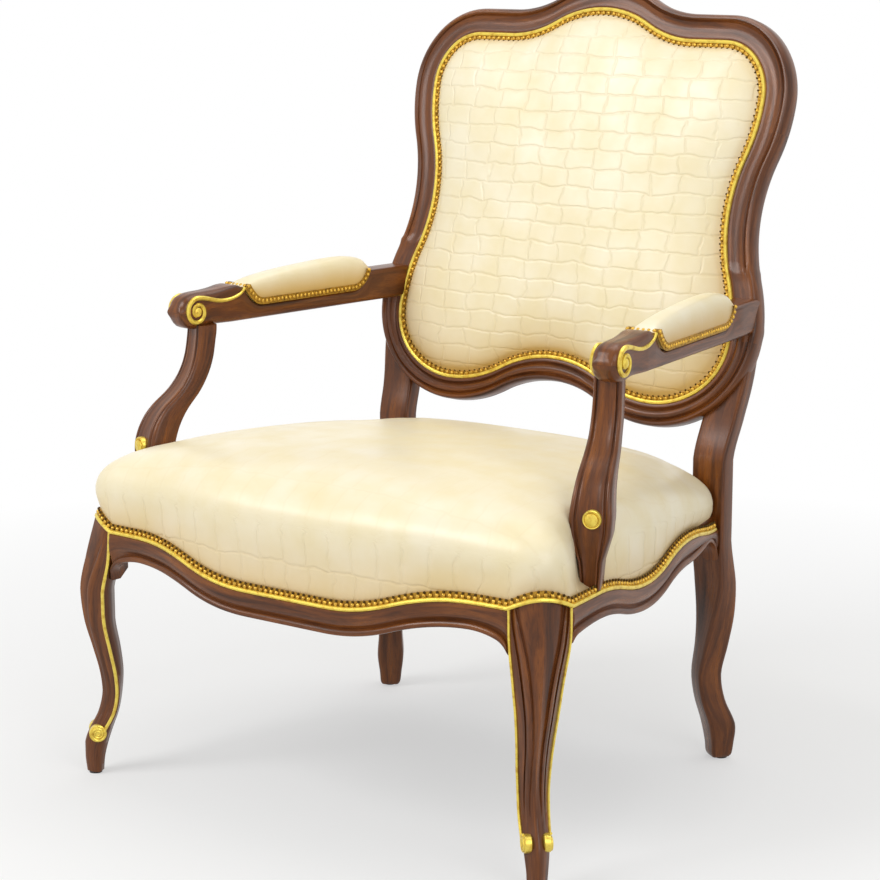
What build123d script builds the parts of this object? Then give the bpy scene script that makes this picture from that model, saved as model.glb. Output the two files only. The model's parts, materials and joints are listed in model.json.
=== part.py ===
"""Open armchair with a carved show-wood frame, nailed leather seat and back, and padded arms.

The floor is z = 0, the sitter faces -Y, X runs across the chair, and the origin lies under the middle
of the chair's box. All sizes are in millimetres. Names ending in right stand at +X.
"""
from build123d import *

import math
import os

# Seat frame in plan, measured on the outer faces of the rails
SEAT_HALF_FRONT = 368.0
SEAT_HALF_REAR = 291.0
SEAT_FRONT = 342.0
SEAT_REAR = 217.0
SEAT_SWELL = 26.0
SWELL_HALF = 90.0
CORNER_RUN = 55.0
SIDE_BOW = 4.5
RAIL_THICK = 30.0
RAIL_LIP = 16.0
TACK_REBATE = 8.0

# Seat frame in elevation: the nail line is the top edge of the show wood
RAIL_TOP = 352.0
NAIL_HIGH = 333.0
FRONT_NAIL_LOW = 300.0
SIDE_NAIL_LOW = 311.0
SIDE_NAIL_REAR = 320.0
REAR_NAIL = 318.0
SHOW_FACE = 32.0
LIP_STEP = 6.0
FRONT_DIP_HALF = 60.0
FRONT_RISE = 258.0
BRACKET_RUN = 58.0
BRACKET_FOOT = 268.0
SIDE_RISE_FRONT = -220.0
SIDE_DIP = -72.0
SIDE_RISE_REAR = 66.0
SIDE_BRACKET_RUN = 76.0
REAR_BRACKET_RUN = 118.0

# Front legs: height, ridge, side edge, back and width, the first three measured along the diagonal
LEG_IN = 22.4
LEG_BACK = 14.6
LEG_X = SEAT_HALF_FRONT - LEG_IN
LEG_Y = LEG_BACK - SEAT_FRONT
LEG_BLOCK = 63.0
LEG_BLOCK_FOOT = 302.0
LEG_RIDGE_DROP = 4.0
LEG_RIDGE_SHARE = 0.2
LEG_BACK_SHARE = 0.5
LEG_SECTIONS = (
    (22.0, 26.0, 13.0, 0.0, 26.0),
    (42.0, 26.0, 9.0, -5.0, 30.0),
    (60.0, 20.0, 1.0, -11.0, 33.0),
    (85.0, 7.0, -12.0, -20.0, 35.0),
    (112.0, 1.0, -17.0, -25.0, 36.0),
    (140.0, 4.0, -15.0, -27.0, 39.0),
    (172.0, 12.0, -9.0, -24.0, 43.0),
    (210.0, 22.0, -2.0, -18.0, 50.0),
    (252.0, 26.0, -1.0, -18.0, 60.0),
    (292.0, 21.0, -11.0, -30.0, 73.0),
)
LEG_FOOT = (24.0, 12.0, 2.0, 24.0)
LEG_HEAD = (10.0, -16.0, -40.0, 74.0)
SCROLL_RADIUS = 13.5
SCROLL_OUT = 14.0
SCROLL_HEIGHT = 56.0
SCROLL_WIDTH = 30.0

# Rear posts, each a leg and a stile in one: height, place beside the post's middle, width, depth and turn
POST_IN = 23.5
POST_BACK = 25.0
POST_FRONT = SEAT_REAR - POST_BACK
POST_X = SEAT_HALF_REAR - POST_IN
POST_WIDTH = 39.0
POST_DEPTH = 28.0
POST_SECTIONS = (
    (22.0, 15.0, 5.0, 27.0, 27.0, 36.0),
    (50.0, 13.5, 3.0, 33.0, 33.0, 36.0),
    (85.0, 5.5, -7.0, 27.0, 27.0, 36.0),
    (120.0, 2.5, -11.0, 25.0, 25.0, 36.0),
    (160.0, 6.5, -5.0, 27.0, 27.0, 32.0),
    (200.0, 9.5, 0.0, 31.0, 30.0, 22.0),
    (245.0, 8.5, 2.0, 37.0, 30.0, 8.0),
)
POST_FOOT = (14.5, 4.0, 20.0, 36.0)
POST_BEND = 410.0
POST_KNEE = 300.0
# Stiles: height, place beside the back's lobes, width and depth
STILE_SECTIONS = (
    (460.0, -3.0, 39.0, 28.0),
    (520.0, 6.0, 36.0, 26.0),
    (600.0, 12.0, 30.0, 17.0),
)

# Back frame, drawn on its own raked plane upwards from the foot of the two lobes
BACK_Y = 201.0
BACK_Z = 472.0
BACK_RAKE = 14.4
FRAME_FACE = 34.0
FRAME_DEPTH = 28.0
LEDGE_REACH = 22.0
FRONT_RABBET = 8.0
REAR_RABBET = 6.0
COVE_DEPTH = 4.0
COVE_EDGE = 9.0
EDGE_STEP = 7.0
EDGE_DEPTH = 9.0
PANEL_TOP = 537.0
SHOULDER_TOP = 497.0
NOTCH_X = 148.0
SHOULDER_FLAT = 200.0
SHOULDER_HALF = 272.0
SHOULDER_LEVEL = 420.0
WAIST_HALF = 245.0
WAIST_LEVEL = 262.0
LOBE_HALF = 275.0
LOBE_LEVEL = 98.0
LOBE_FOOT = 165.0
CENTRE_LIFT = 44.0
CREST_JOINT = 372.0
LOWER_JOINT = 100.0
POST_SETBACK = 10.0

# Arms, each drawn on a vertical plane that runs forward from its stile
ARM_REAR_OUT = 15.0
ARM_REAR_X = LOBE_HALF + ARM_REAR_OUT
ARM_REAR_Y = 202.0
ARM_FRONT_OUT = 14.0
ARM_FRONT_RUN = 40.0
ARM_WIDTH = 40.0
ARM_UNDER = 578.0
ARM_REAR_TOP = 622.0
ARM_SEAT = 593.0
ARM_CREST = 629.0
ARM_NECK = 622.0
SCROLL_TOP = 627.0
ARM_NOSE = 384.0
ARM_EASE = 16.0
ARM_BREAK = 40.0
ARM_NECK_RUN = 60.0
SCROLL_EASE = 24.0
PAD_START = 18.0
PAD_END = 268.0
PAD_SCOOP = 36.0
PAD_TOP = 640.0
PAD_WIDTH = 50.0
PAD_SIDE = 606.0
PAD_REAR_TURN = 70.0
PAD_FRONT_TURN = 60.0
PAD_END_SHARE = 4.0

# Arm posts, drawn on a vertical plane turned outwards
ARM_POST_IN = 33.45
ARM_POST_SHARE = 0.15
ARM_POST_X = SEAT_HALF_FRONT + ARM_POST_SHARE * (SEAT_HALF_REAR - SEAT_HALF_FRONT) - ARM_POST_IN
ARM_POST_Y = -144.0
ARM_POST_TURN = 19.0
ARM_POST_LEAN = 8.0
ARM_POST_FOOT = 337.0
ARM_POST_HALF_TOP = 17.0
ARM_POST_HALF_FOOT = 14.0
ARM_POST_HALF_SHIELD = 24.0
SHIELD_LEVEL = 415.0
FOOT_FRONT = 92.0
FOOT_BACK = 62.0
SHIELD_FRONT = 96.0
SHIELD_BACK = 62.0
POST_TOP_HALF = 20.0
NECK_FRONT = 22.0
NECK_BACK = -16.0
NECK_LEVEL = 550.0

# Upholstery
LEATHER = 1.7
SOFT_GAP = 0.3
WEB_THICK = 1.5
WEB_WIDTH = 50.0
WEB_PITCH = 72.0
SEAT_WEBS = 7
CROSS_WEBS = 6
BACK_WEBS = 6
BACK_CROSS_WEBS = 5
BACK_CROSS_PITCH = 90.0
WEB_MARGIN = 5.0
SEAT_CROWN = 450.0
SEAT_FALL = 3.8
SKIRT_TOP = 346.0
SKIRT_IN = 6.0
SEAT_SECTIONS = (
    (61.0, 6.0, -6.0),
    (25.0, -16.0, -24.0),
    (8.0, -70.0, -70.0),
    (0.0, -160.0, -160.0),
)
BACK_CROWN = 26.0
NAIL_STRIP = 9.0
NAIL_BED = 3.0
NAIL_MARGIN = 1.0
BACK_SECTIONS = (
    (17.0, -12.0, 1.0),
    (6.0, -26.0, 0.94),
    (0.0, -26.0, 0.7),
)
BRAID_THICK = 2.0
BRAID_HEIGHT = 10.0
DUST_THICK = 1.0

# Joinery and hardware
JOINT_GAP = 0.2
TENON_LENGTH = 22.0
TENON_THICK = 10.0
TENON_FOOT = 318.0
TENON_TOP = 344.0
REAR_TENON = 16.0
BLOCK_REACH = 80.0
BLOCK_FOOT = 300.0
BLOCK_TOP = 336.0
SCREW_LEVEL = 308.0
SCREW_SHANK = 5.0
SCREW_HEAD = 10.0
SCREW_HEAD_DEPTH = 4.0
BLOCK_SCREW_LENGTH = 52.0
DOWEL = 8.0
DOWEL_LENGTH = 44.0
DOWEL_PITCH = 15.0
CREST_DOWEL_IN = 8.0
ARM_DOWEL = 10.0
ARM_DOWEL_LENGTH = 50.0
ARM_SCREW_LENGTH = 62.0
BOLT_LENGTH = 27.0
BOLT_LEVEL = 343.0
BOLT_BACK = 17.0
GLIDE_RADIUS = 8.5
GLIDE_THICK = 3.0
GLIDE_PIN = 3.0
GLIDE_PIN_LENGTH = 16.0

STRAIGHT = 1e-6
BEYOND = 60.0


def heading(turn):
    """Unit vector at an angle in degrees from the sketch's x axis."""
    return Vector(math.cos(math.radians(turn)), math.sin(math.radians(turn)))


def tangent_arcs(stations):
    """Draw a smooth line through stations of x, y and heading, as a line or two arcs for each step."""
    for (x0, y0, turn0), (x1, y1, turn1) in zip(stations, stations[1:]):
        start, end = Vector(x0, y0), Vector(x1, y1)
        leave, arrive = heading(turn0), heading(turn1)
        chord = end - start
        if abs(leave.cross(chord).Z) < STRAIGHT and abs(arrive.cross(chord).Z) < STRAIGHT:
            Line(start, end)
            continue
        along = chord.dot(leave + arrive)
        spread = 2 * (1 - leave.dot(arrive))
        if spread < STRAIGHT:
            reach = chord.dot(chord) / (2 * along)
        else:
            reach = (math.sqrt(along**2 + spread * chord.dot(chord)) - along) / spread
        first, second = start + leave * reach, end - arrive * reach
        middle = (first + second) * 0.5
        TangentArc(start, middle, tangent=leave)
        TangentArc(middle, end, tangent=second - first)


def seat_stations(grow, rear_grow):
    """Right half of the seat's plan, from the middle of the front to the rear corner, offset by grow."""
    front = -(SEAT_FRONT + grow)
    side_start = -(SEAT_FRONT - CORNER_RUN + grow)
    rear = SEAT_REAR + rear_grow
    lean = math.degrees(math.atan2(rear - side_start, SEAT_HALF_REAR - SEAT_HALF_FRONT))
    return [
        (0, front - SEAT_SWELL, 0),
        (SWELL_HALF, front - SEAT_SWELL, 0),
        (SEAT_HALF_FRONT - CORNER_RUN + grow, front, 0),
        (SEAT_HALF_FRONT + grow, side_start, lean - SIDE_BOW),
        (SEAT_HALF_REAR + grow, rear, lean + SIDE_BOW),
    ]


def seat_face(grow, rear_grow):
    """Whole plan of the seat as a face in the active sketch."""
    stations = seat_stations(grow, rear_grow)
    with BuildLine() as outline:
        tangent_arcs(stations)
        Line(stations[-1][:2], (0, stations[-1][1]))
        mirror(about=Plane.YZ)
    make_face(outline.edges())


def seat_slab(grow, foot, top, mode=Mode.ADD, rear_grow=None):
    """Straight-sided slab of the seat's plan between two heights."""
    with BuildSketch(Plane.XY.offset(foot)) as plan:
        seat_face(grow, grow if rear_grow is None else rear_grow)
    extrude(plan.sketch, amount=top - foot, mode=mode)


def front_nail_line(lift, end):
    """Right half of the front nail line in elevation, lifted by lift, from the middle to an end."""
    return [
        (0, FRONT_NAIL_LOW + lift, 0),
        (FRONT_DIP_HALF, FRONT_NAIL_LOW + lift, 0),
        (FRONT_RISE, NAIL_HIGH + lift, 0),
        (end, NAIL_HIGH + lift, 0),
    ]


def front_lower_line():
    """Right half of the front rail's lower edge, which turns down into a bracket at the leg."""
    return [
        *front_nail_line(-SHOW_FACE, 0)[:-1],
        (FRONT_RISE + BRACKET_RUN, BRACKET_FOOT, -90),
    ]


def side_nail_line(lift, start):
    """Side nail line in elevation, from a start near the front leg to the rear post."""
    return [
        (start, NAIL_HIGH + lift, 0),
        (SIDE_RISE_FRONT, NAIL_HIGH + lift, 0),
        (SIDE_DIP, SIDE_NAIL_LOW + lift, 0),
        (SIDE_RISE_REAR, NAIL_HIGH + lift, 0),
        (POST_FRONT, SIDE_NAIL_REAR + lift, 0),
    ]


def side_lower_line():
    """Lower edge of the side rail, with a bracket at each leg."""
    return [
        (SIDE_RISE_FRONT - SIDE_BRACKET_RUN, BRACKET_FOOT, 90),
        *side_nail_line(-SHOW_FACE, 0)[1:-1],
        (SIDE_RISE_REAR + REAR_BRACKET_RUN, BRACKET_FOOT, -90),
    ]


def square_end(foot, top):
    """Close an end between a lower and an upper station, level first and then upright."""
    corner = (top[0], foot[1])
    if abs(corner[0] - foot[0]) > STRAIGHT:
        Line(foot[:2], corner)
    Line(corner, top[:2])


def front_strip(foot, top):
    """Face in front elevation between the right halves of two lines, mirrored to both sides."""
    with BuildLine() as outline:
        tangent_arcs(foot)
        tangent_arcs(top)
        square_end(foot[-1], top[-1])
        mirror(about=Plane.YZ)
    make_face(outline.edges())


def side_strip(foot, top):
    """Face in side elevation between two lines."""
    with BuildLine() as outline:
        tangent_arcs(foot)
        tangent_arcs(top)
        square_end(foot[0], top[0])
        square_end(foot[-1], top[-1])
    make_face(outline.edges())


def level(start, end, height):
    """Flat line at one height."""
    return [(start, height, 0), (end, height, 0)]


def diagonal_plane(height):
    """Plane at a height whose x axis points out along the front leg's diagonal."""
    return Plane(origin=(LEG_X, LEG_Y, height), x_dir=(1, -1, 0), z_dir=(0, 0, 1))


def leg_section(ridge, edge, back, width):
    """Five-sided leg section with a rounded ridge, in the active sketch."""
    ridge_half = LEG_RIDGE_SHARE * width / 2
    back_half = LEG_BACK_SHARE * width / 2
    shoulder = ridge - LEG_RIDGE_DROP
    with BuildLine() as outline:
        ThreePointArc((shoulder, -ridge_half), (ridge, 0), (shoulder, ridge_half))
        Polyline(
            (shoulder, ridge_half),
            (edge, width / 2),
            (back, back_half),
            (back, -back_half),
            (edge, -width / 2),
            (shoulder, -ridge_half),
        )
    make_face(outline.edges())


def front_tenon(grow, mode):
    """Tenon at the right end of the front rail, grown by a clearance."""
    middle = -(SEAT_FRONT - TACK_REBATE - TENON_THICK)
    with Locations((leg_block_x + TENON_LENGTH / 2, middle, (TENON_FOOT + TENON_TOP) / 2)):
        Box(TENON_LENGTH + 2 * grow, TENON_THICK + 2 * grow, TENON_TOP - TENON_FOOT + 2 * grow, mode=mode)


def side_tenon(grow, mode):
    """Tenon at the front end of the right side rail."""
    middle = SEAT_HALF_FRONT - TACK_REBATE - TENON_THICK
    with Locations((middle, leg_block_y - TENON_LENGTH / 2, (TENON_FOOT + TENON_TOP) / 2)):
        Box(TENON_THICK + 2 * grow, TENON_LENGTH + 2 * grow, TENON_TOP - TENON_FOOT + 2 * grow, mode=mode)


def side_rear_tenon(grow, mode):
    """Tenon at the rear end of the right side rail."""
    middle = POST_X + POST_WIDTH / 4
    with Locations((middle, POST_FRONT + REAR_TENON / 2, (TENON_FOOT + TENON_TOP) / 2)):
        Box(TENON_THICK + 2 * grow, REAR_TENON + 2 * grow, TENON_TOP - TENON_FOOT + 2 * grow, mode=mode)


def rear_tenon(grow, mode):
    """Tenon at the right end of the rear rail."""
    middle = (POST_FRONT + SEAT_REAR - TACK_REBATE) / 2
    with Locations((post_inner + REAR_TENON / 2, middle, (TENON_FOOT + TENON_TOP) / 2)):
        Box(REAR_TENON + 2 * grow, TENON_THICK + 2 * grow, TENON_TOP - TENON_FOOT + 2 * grow, mode=mode)


def pin(plane, radius, length, grow=0.0, mode=Mode.ADD):
    """Round pin from a plane's origin along its normal."""
    with BuildSketch(plane.offset(-grow)) as end:
        Circle(radius + grow)
    extrude(end.sketch, amount=length + 2 * grow, mode=mode)


def screw(plane, length, grow=0.0, mode=Mode.ADD):
    """Countersunk screw whose head lies in a plane and whose shank runs along its normal."""
    pin(plane, SCREW_SHANK / 2, length, grow, mode)
    with BuildSketch(plane.offset(-grow)) as head:
        Circle(SCREW_HEAD / 2 + grow)
    with BuildSketch(plane.offset(SCREW_HEAD_DEPTH + grow)) as neck:
        Circle(SCREW_SHANK / 2 + grow)
    loft([head.sketch, neck.sketch], mode=mode)


def glide_pin(x, y, grow, mode):
    """Pin of a glide at one foot."""
    pin(Plane.XY.move(Location((x, y, GLIDE_THICK))), GLIDE_PIN / 2, GLIDE_PIN_LENGTH, grow, mode)


def back_stations(grow):
    """Right half of the back panel's outline, from the hump down to the middle of the foot."""
    return [
        (0, PANEL_TOP + grow, 0),
        (NOTCH_X, SHOULDER_TOP + grow, 0),
        (SHOULDER_FLAT, SHOULDER_TOP + grow, 0),
        (SHOULDER_HALF + grow, SHOULDER_LEVEL, -90),
        (WAIST_HALF + grow, WAIST_LEVEL, -90),
        (LOBE_HALF + grow, LOBE_LEVEL, -90),
        (LOBE_FOOT, -grow, 180),
        (0, CENTRE_LIFT - grow, 180),
    ]


def back_face(grow, mode=Mode.ADD, share=1.0):
    """Back outline, offset by grow and shrunk to a share about its waist, in the active sketch."""
    stations = [
        (share * x, WAIST_LEVEL + share * (y - WAIST_LEVEL), turn) for x, y, turn in back_stations(grow)
    ]
    with BuildLine() as outline:
        tangent_arcs(stations)
        mirror(about=Plane.YZ)
    make_face(outline.edges(), mode=mode)


def back_slab(grow, behind, front, inner=None, mode=Mode.ADD):
    """Slab or ring of the back outline between two depths on the back plane."""
    with BuildSketch(back_plane.offset(behind)) as profile:
        back_face(grow)
        if inner is not None:
            back_face(inner, mode=Mode.SUBTRACT)
    extrude(profile.sketch, amount=front - behind, mode=mode)


def along_back(height):
    """Plane square to the back plane at a height up it, facing up."""
    origin = back_plane.from_local_coords(Vector(0, height, 0))
    return Plane(origin=origin, x_dir=(1, 0, 0), z_dir=back_plane.y_dir)


def crest_dowel_planes():
    """Start planes of the two dowels in the right crest joint."""
    middle = SHOULDER_HALF + FRAME_FACE / 2 - CREST_DOWEL_IN
    for side in (-DOWEL_PITCH / 2, DOWEL_PITCH / 2):
        foot = Vector(middle + side, CREST_JOINT - DOWEL_LENGTH / 2, -FRAME_DEPTH / 2)
        yield Plane(origin=back_plane.from_local_coords(foot), x_dir=(1, 0, 0), z_dir=back_plane.y_dir)


leg_block_x = SEAT_HALF_FRONT - LEG_BLOCK
leg_block_y = LEG_BLOCK - SEAT_FRONT
rail_inner_y = RAIL_THICK - SEAT_FRONT
post_inner = POST_X - POST_WIDTH / 2
post_middle = POST_FRONT + POST_DEPTH / 2
rear_foot = (POST_X + POST_FOOT[0], post_middle + POST_FOOT[1])
post_clear = POST_FRONT - SOFT_GAP
web_top = RAIL_TOP + 2 * WEB_THICK
web_edge = -(NAIL_STRIP + LEATHER + 2 * SOFT_GAP)
rake = math.radians(BACK_RAKE)
back_plane = Plane(
    origin=(0, BACK_Y, BACK_Z),
    x_dir=(1, 0, 0),
    z_dir=(0, -math.cos(rake), math.sin(rake)),
)
front_foot = diagonal_plane(0).from_local_coords(Vector((LEG_FOOT[0] + LEG_FOOT[2]) / 2, 0, 0))
arm_front = Vector(ARM_POST_X + ARM_FRONT_OUT, ARM_POST_Y - ARM_FRONT_RUN)
arm_run = (arm_front - Vector(ARM_REAR_X, ARM_REAR_Y)).normalized()
arm_plane = Plane(
    origin=(ARM_REAR_X, ARM_REAR_Y, 0),
    x_dir=arm_run,
    z_dir=arm_run.cross(Vector(0, 0, 1)),
)
post_run = Vector(math.sin(math.radians(ARM_POST_TURN)), -math.cos(math.radians(ARM_POST_TURN)))
arm_post_plane = Plane(
    origin=(ARM_POST_X, ARM_POST_Y, 0),
    x_dir=post_run,
    z_dir=post_run.cross(Vector(0, 0, 1)),
)
arm_post_face = Plane(origin=(ARM_POST_X, ARM_POST_Y, 0), x_dir=arm_post_plane.z_dir, z_dir=-post_run)


def stile_y(height, depth):
    """Middle of a stile section of some depth that lies behind the raked back plane."""
    front = BACK_Y + (height - BACK_Z) * math.tan(rake) + POST_SETBACK / math.cos(rake)
    return front + depth / 2


def post_sections():
    """All horizontal sections of the right rear post from the glide to the stile."""
    width, turn = POST_FOOT[2:]
    yield (GLIDE_THICK, *rear_foot, width, width, turn)
    for height, out, back, *sizes in POST_SECTIONS:
        yield (height, POST_X + out, post_middle + back, *sizes)
    for height in (POST_KNEE, RAIL_TOP, POST_BEND):
        yield (height, POST_X, post_middle, POST_WIDTH, POST_DEPTH, 0)
    for height, out, width, depth in STILE_SECTIONS:
        yield (height, LOBE_HALF + out, stile_y(height, depth), width, depth, 0)


def recess_line(lift):
    """Scooped bed of the arm pad on the arm plane, from the rear end to the front end."""
    return [
        (PAD_START, ARM_REAR_TOP + lift, -PAD_REAR_TURN),
        (PAD_START + PAD_SCOOP, ARM_SEAT + lift, 0),
        (PAD_END - PAD_SCOOP, ARM_SEAT + lift, 0),
        (PAD_END, ARM_REAR_TOP + lift, PAD_FRONT_TURN),
    ]


def pad_body(inset):
    """Domed arm pad on its bed, drawn in by an inset on every free side."""
    bed = recess_line(SOFT_GAP)
    top = PAD_TOP - inset
    side = PAD_WIDTH / 2 - inset
    ends = bed[0][1] - PAD_END_SHARE * inset
    with BuildSketch(arm_plane) as length:
        with BuildLine() as outline:
            tangent_arcs([
                (PAD_START, ends, PAD_REAR_TURN),
                ((PAD_START + PAD_END) / 2, top, 0),
                (PAD_END, ends, -PAD_FRONT_TURN),
            ])
            Polyline((PAD_START, ends), (PAD_START, ARM_UNDER), (PAD_END, ARM_UNDER), (PAD_END, ends))
        make_face(outline.edges())
        with BuildLine() as wood:
            tangent_arcs(bed)
            Polyline(bed[0][:2], (PAD_START, 0), (PAD_END, 0), bed[-1][:2])
        make_face(wood.edges(), mode=Mode.SUBTRACT)
    extrude(length.sketch, amount=PAD_WIDTH, both=True)
    end_plane = Plane(origin=arm_plane.origin, x_dir=-arm_plane.z_dir, z_dir=arm_plane.x_dir)
    with BuildSketch(end_plane) as across:
        with BuildLine() as outline:
            Polyline((0, ARM_UNDER), (side, ARM_UNDER), (side, PAD_SIDE))
            tangent_arcs([(side, PAD_SIDE, 90), (0, top, 180)])
            mirror(about=Plane.YZ)
        make_face(outline.edges())
    extrude(across.sketch, amount=ARM_NOSE, mode=Mode.INTERSECT)


def arm_post_body(grow):
    """Curved right arm post between the seat rail and the arm, grown by a clearance."""
    front = [
        (POST_TOP_HALF, ARM_UNDER, -90),
        (NECK_FRONT, NECK_LEVEL, ARM_POST_LEAN - 90),
        (SHIELD_FRONT, SHIELD_LEVEL, -90),
        (FOOT_FRONT, ARM_POST_FOOT, -90),
    ]
    back = [
        (-POST_TOP_HALF, ARM_UNDER, -90),
        (NECK_BACK, NECK_LEVEL, ARM_POST_LEAN - 90),
        (SHIELD_BACK, SHIELD_LEVEL, ARM_POST_LEAN - 90),
        (FOOT_BACK, ARM_POST_FOOT, -90),
    ]
    side = [
        (ARM_POST_HALF_TOP + grow, ARM_UNDER, -90),
        (ARM_POST_HALF_SHIELD + grow, SHIELD_LEVEL, -90),
        (ARM_POST_HALF_FOOT + grow, ARM_POST_FOOT, -90 - ARM_POST_LEAN),
    ]
    with BuildSketch(arm_post_plane) as profile:
        upright_strip(
            [(x - grow, y, turn) for x, y, turn in back],
            [(x + grow, y, turn) for x, y, turn in front],
        )
    extrude(profile.sketch, amount=BEYOND, both=True)
    with BuildSketch(arm_post_face) as width:
        with BuildLine() as outline:
            tangent_arcs(side)
            Line((0, ARM_UNDER), side[0][:2])
            Line((0, ARM_POST_FOOT), side[-1][:2])
            mirror(about=Plane.YZ)
        make_face(outline.edges())
    extrude(width.sketch, amount=3 * BEYOND, both=True, mode=Mode.INTERSECT)


def upright_strip(left, right):
    """Face between two lines that both run downwards."""
    with BuildLine() as outline:
        tangent_arcs(left)
        tangent_arcs(right)
        Line(left[0][:2], right[0][:2])
        Line(left[-1][:2], right[-1][:2])
    make_face(outline.edges())


def across_chair(plane):
    """The same plane mirrored to the left half of the chair."""
    flip = Vector(-1, 1, 1)
    return Plane(
        origin=[a * b for a, b in zip(plane.origin, flip)],
        x_dir=[a * b for a, b in zip(plane.x_dir, flip)],
        z_dir=[a * b for a, b in zip(plane.z_dir, flip)],
    )


def seat_body(inset):
    """Crowned seat cushion that falls to the rear above a drawn-in skirt, drawn in by an inset."""
    seat_slab(-SKIRT_IN - inset, 0, SKIRT_TOP)
    fall = math.radians(SEAT_FALL)
    with BuildSketch(Plane.XY.offset(SKIRT_TOP)) as skirt:
        seat_face(-SKIRT_IN - inset, -SKIRT_IN - inset)
    faces = [skirt.sketch]
    for drop, grow, rear_grow in SEAT_SECTIONS:
        middle = SEAT_CROWN - inset - drop - SEAT_FRONT * math.sin(fall)
        sloped = Plane(origin=(0, 0, middle), x_dir=(1, 0, 0), z_dir=(0, math.sin(fall), math.cos(fall)))
        with BuildSketch(sloped) as section:
            seat_face(grow - inset, rear_grow - inset)
        faces.append(section.sketch)
    loft(faces[:2], ruled=True)
    loft(faces[1:])


def fill_at_nails(lift, limit):
    """Fill what lies between the seat's nail line, lifted by lift, and another height."""
    corner = SEAT_FRONT - CORNER_RUN
    outside = SEAT_HALF_FRONT + BEYOND
    with BuildSketch(Plane.XZ.offset(corner)) as front:
        front_strip(level(0, outside, limit), front_nail_line(lift, outside))
    extrude(front.sketch, amount=SEAT_FRONT)
    with BuildSketch(Plane.YZ) as side:
        side_strip(level(-corner, POST_FRONT, limit), side_nail_line(lift, -corner))
    extrude(side.sketch, amount=outside, both=True)
    rear_line = REAR_NAIL + lift
    with Locations((0, POST_FRONT + SEAT_REAR, (rear_line + limit) / 2)):
        Box(2 * outside, 2 * SEAT_REAR, abs(rear_line - limit))


def back_body(inset, behind):
    """Crowned back cushion inside its nail strip, drawn in by an inset."""
    edge = -NAIL_STRIP - inset
    back_slab(edge, behind, -NAIL_BED)
    sections = [(-NAIL_BED, edge, 1.0)]
    sections += [(BACK_CROWN - inset - drop, grow - inset, share) for drop, grow, share in BACK_SECTIONS]
    faces = []
    for depth, grow, share in sections:
        with BuildSketch(back_plane.offset(depth)) as section:
            back_face(grow, share=share)
        faces.append(section.sketch)
    loft(faces)


def corner_screw_plane(start, end, target):
    """Plane on a corner block's slanted face, facing the frame corner that its screw enters."""
    run = (end - start).normalized()
    foot = start + run * (target - start).dot(run)
    toward = target - foot
    return Plane(origin=(foot.X, foot.Y, SCREW_LEVEL), z_dir=toward)


front_block = (
    Vector(leg_block_x - BLOCK_REACH, rail_inner_y),
    Vector(SEAT_HALF_FRONT, rail_inner_y),
    Vector(SEAT_HALF_FRONT, leg_block_y + BLOCK_REACH),
)
rear_block = (
    Vector(POST_X - BLOCK_REACH, POST_FRONT),
    Vector(SEAT_HALF_REAR, POST_FRONT),
    Vector(SEAT_HALF_REAR, POST_FRONT - BLOCK_REACH),
)
block_screw_planes = (
    corner_screw_plane(front_block[0], front_block[2], Vector(leg_block_x, leg_block_y)),
    corner_screw_plane(rear_block[0], rear_block[2], Vector(post_inner + SCREW_HEAD, POST_FRONT)),
)
crest_dowel_starts = tuple(crest_dowel_planes())
arm_dowel_start = Plane.XY.move(Location((ARM_POST_X, ARM_POST_Y, ARM_UNDER - ARM_DOWEL_LENGTH / 2)))
side_normal = Vector(SEAT_REAR + SEAT_FRONT - CORNER_RUN, SEAT_HALF_FRONT - SEAT_HALF_REAR).normalized()
post_foot = arm_post_plane.from_local_coords(Vector((FOOT_FRONT + FOOT_BACK) / 2, BOLT_LEVEL, 0))
bolt_start = Plane(origin=post_foot - side_normal * BOLT_BACK, z_dir=side_normal)
arm_middle = ((ARM_UNDER + ARM_REAR_TOP) / 2 - BACK_Z) / math.cos(rake)
arm_screw_start = Plane(
    origin=back_plane.from_local_coords(Vector(ARM_REAR_X - SOFT_GAP, arm_middle, -FRAME_DEPTH)),
    z_dir=back_plane.z_dir,
)

# Whole ring of the back frame with its cove, stepped edge and rabbets, sawn into four pieces below
with BuildPart() as back_ring:
    back_slab(FRAME_FACE, -FRAME_DEPTH, -EDGE_DEPTH, inner=0)
    back_slab(FRAME_FACE - EDGE_STEP, -EDGE_DEPTH, 0, inner=0)
    back_slab(0, REAR_RABBET - FRAME_DEPTH, -FRONT_RABBET, inner=-LEDGE_REACH)
    back_slab(
        FRAME_FACE - EDGE_STEP - COVE_EDGE, -COVE_DEPTH, COVE_DEPTH, inner=COVE_EDGE, mode=Mode.SUBTRACT
    )

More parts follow.
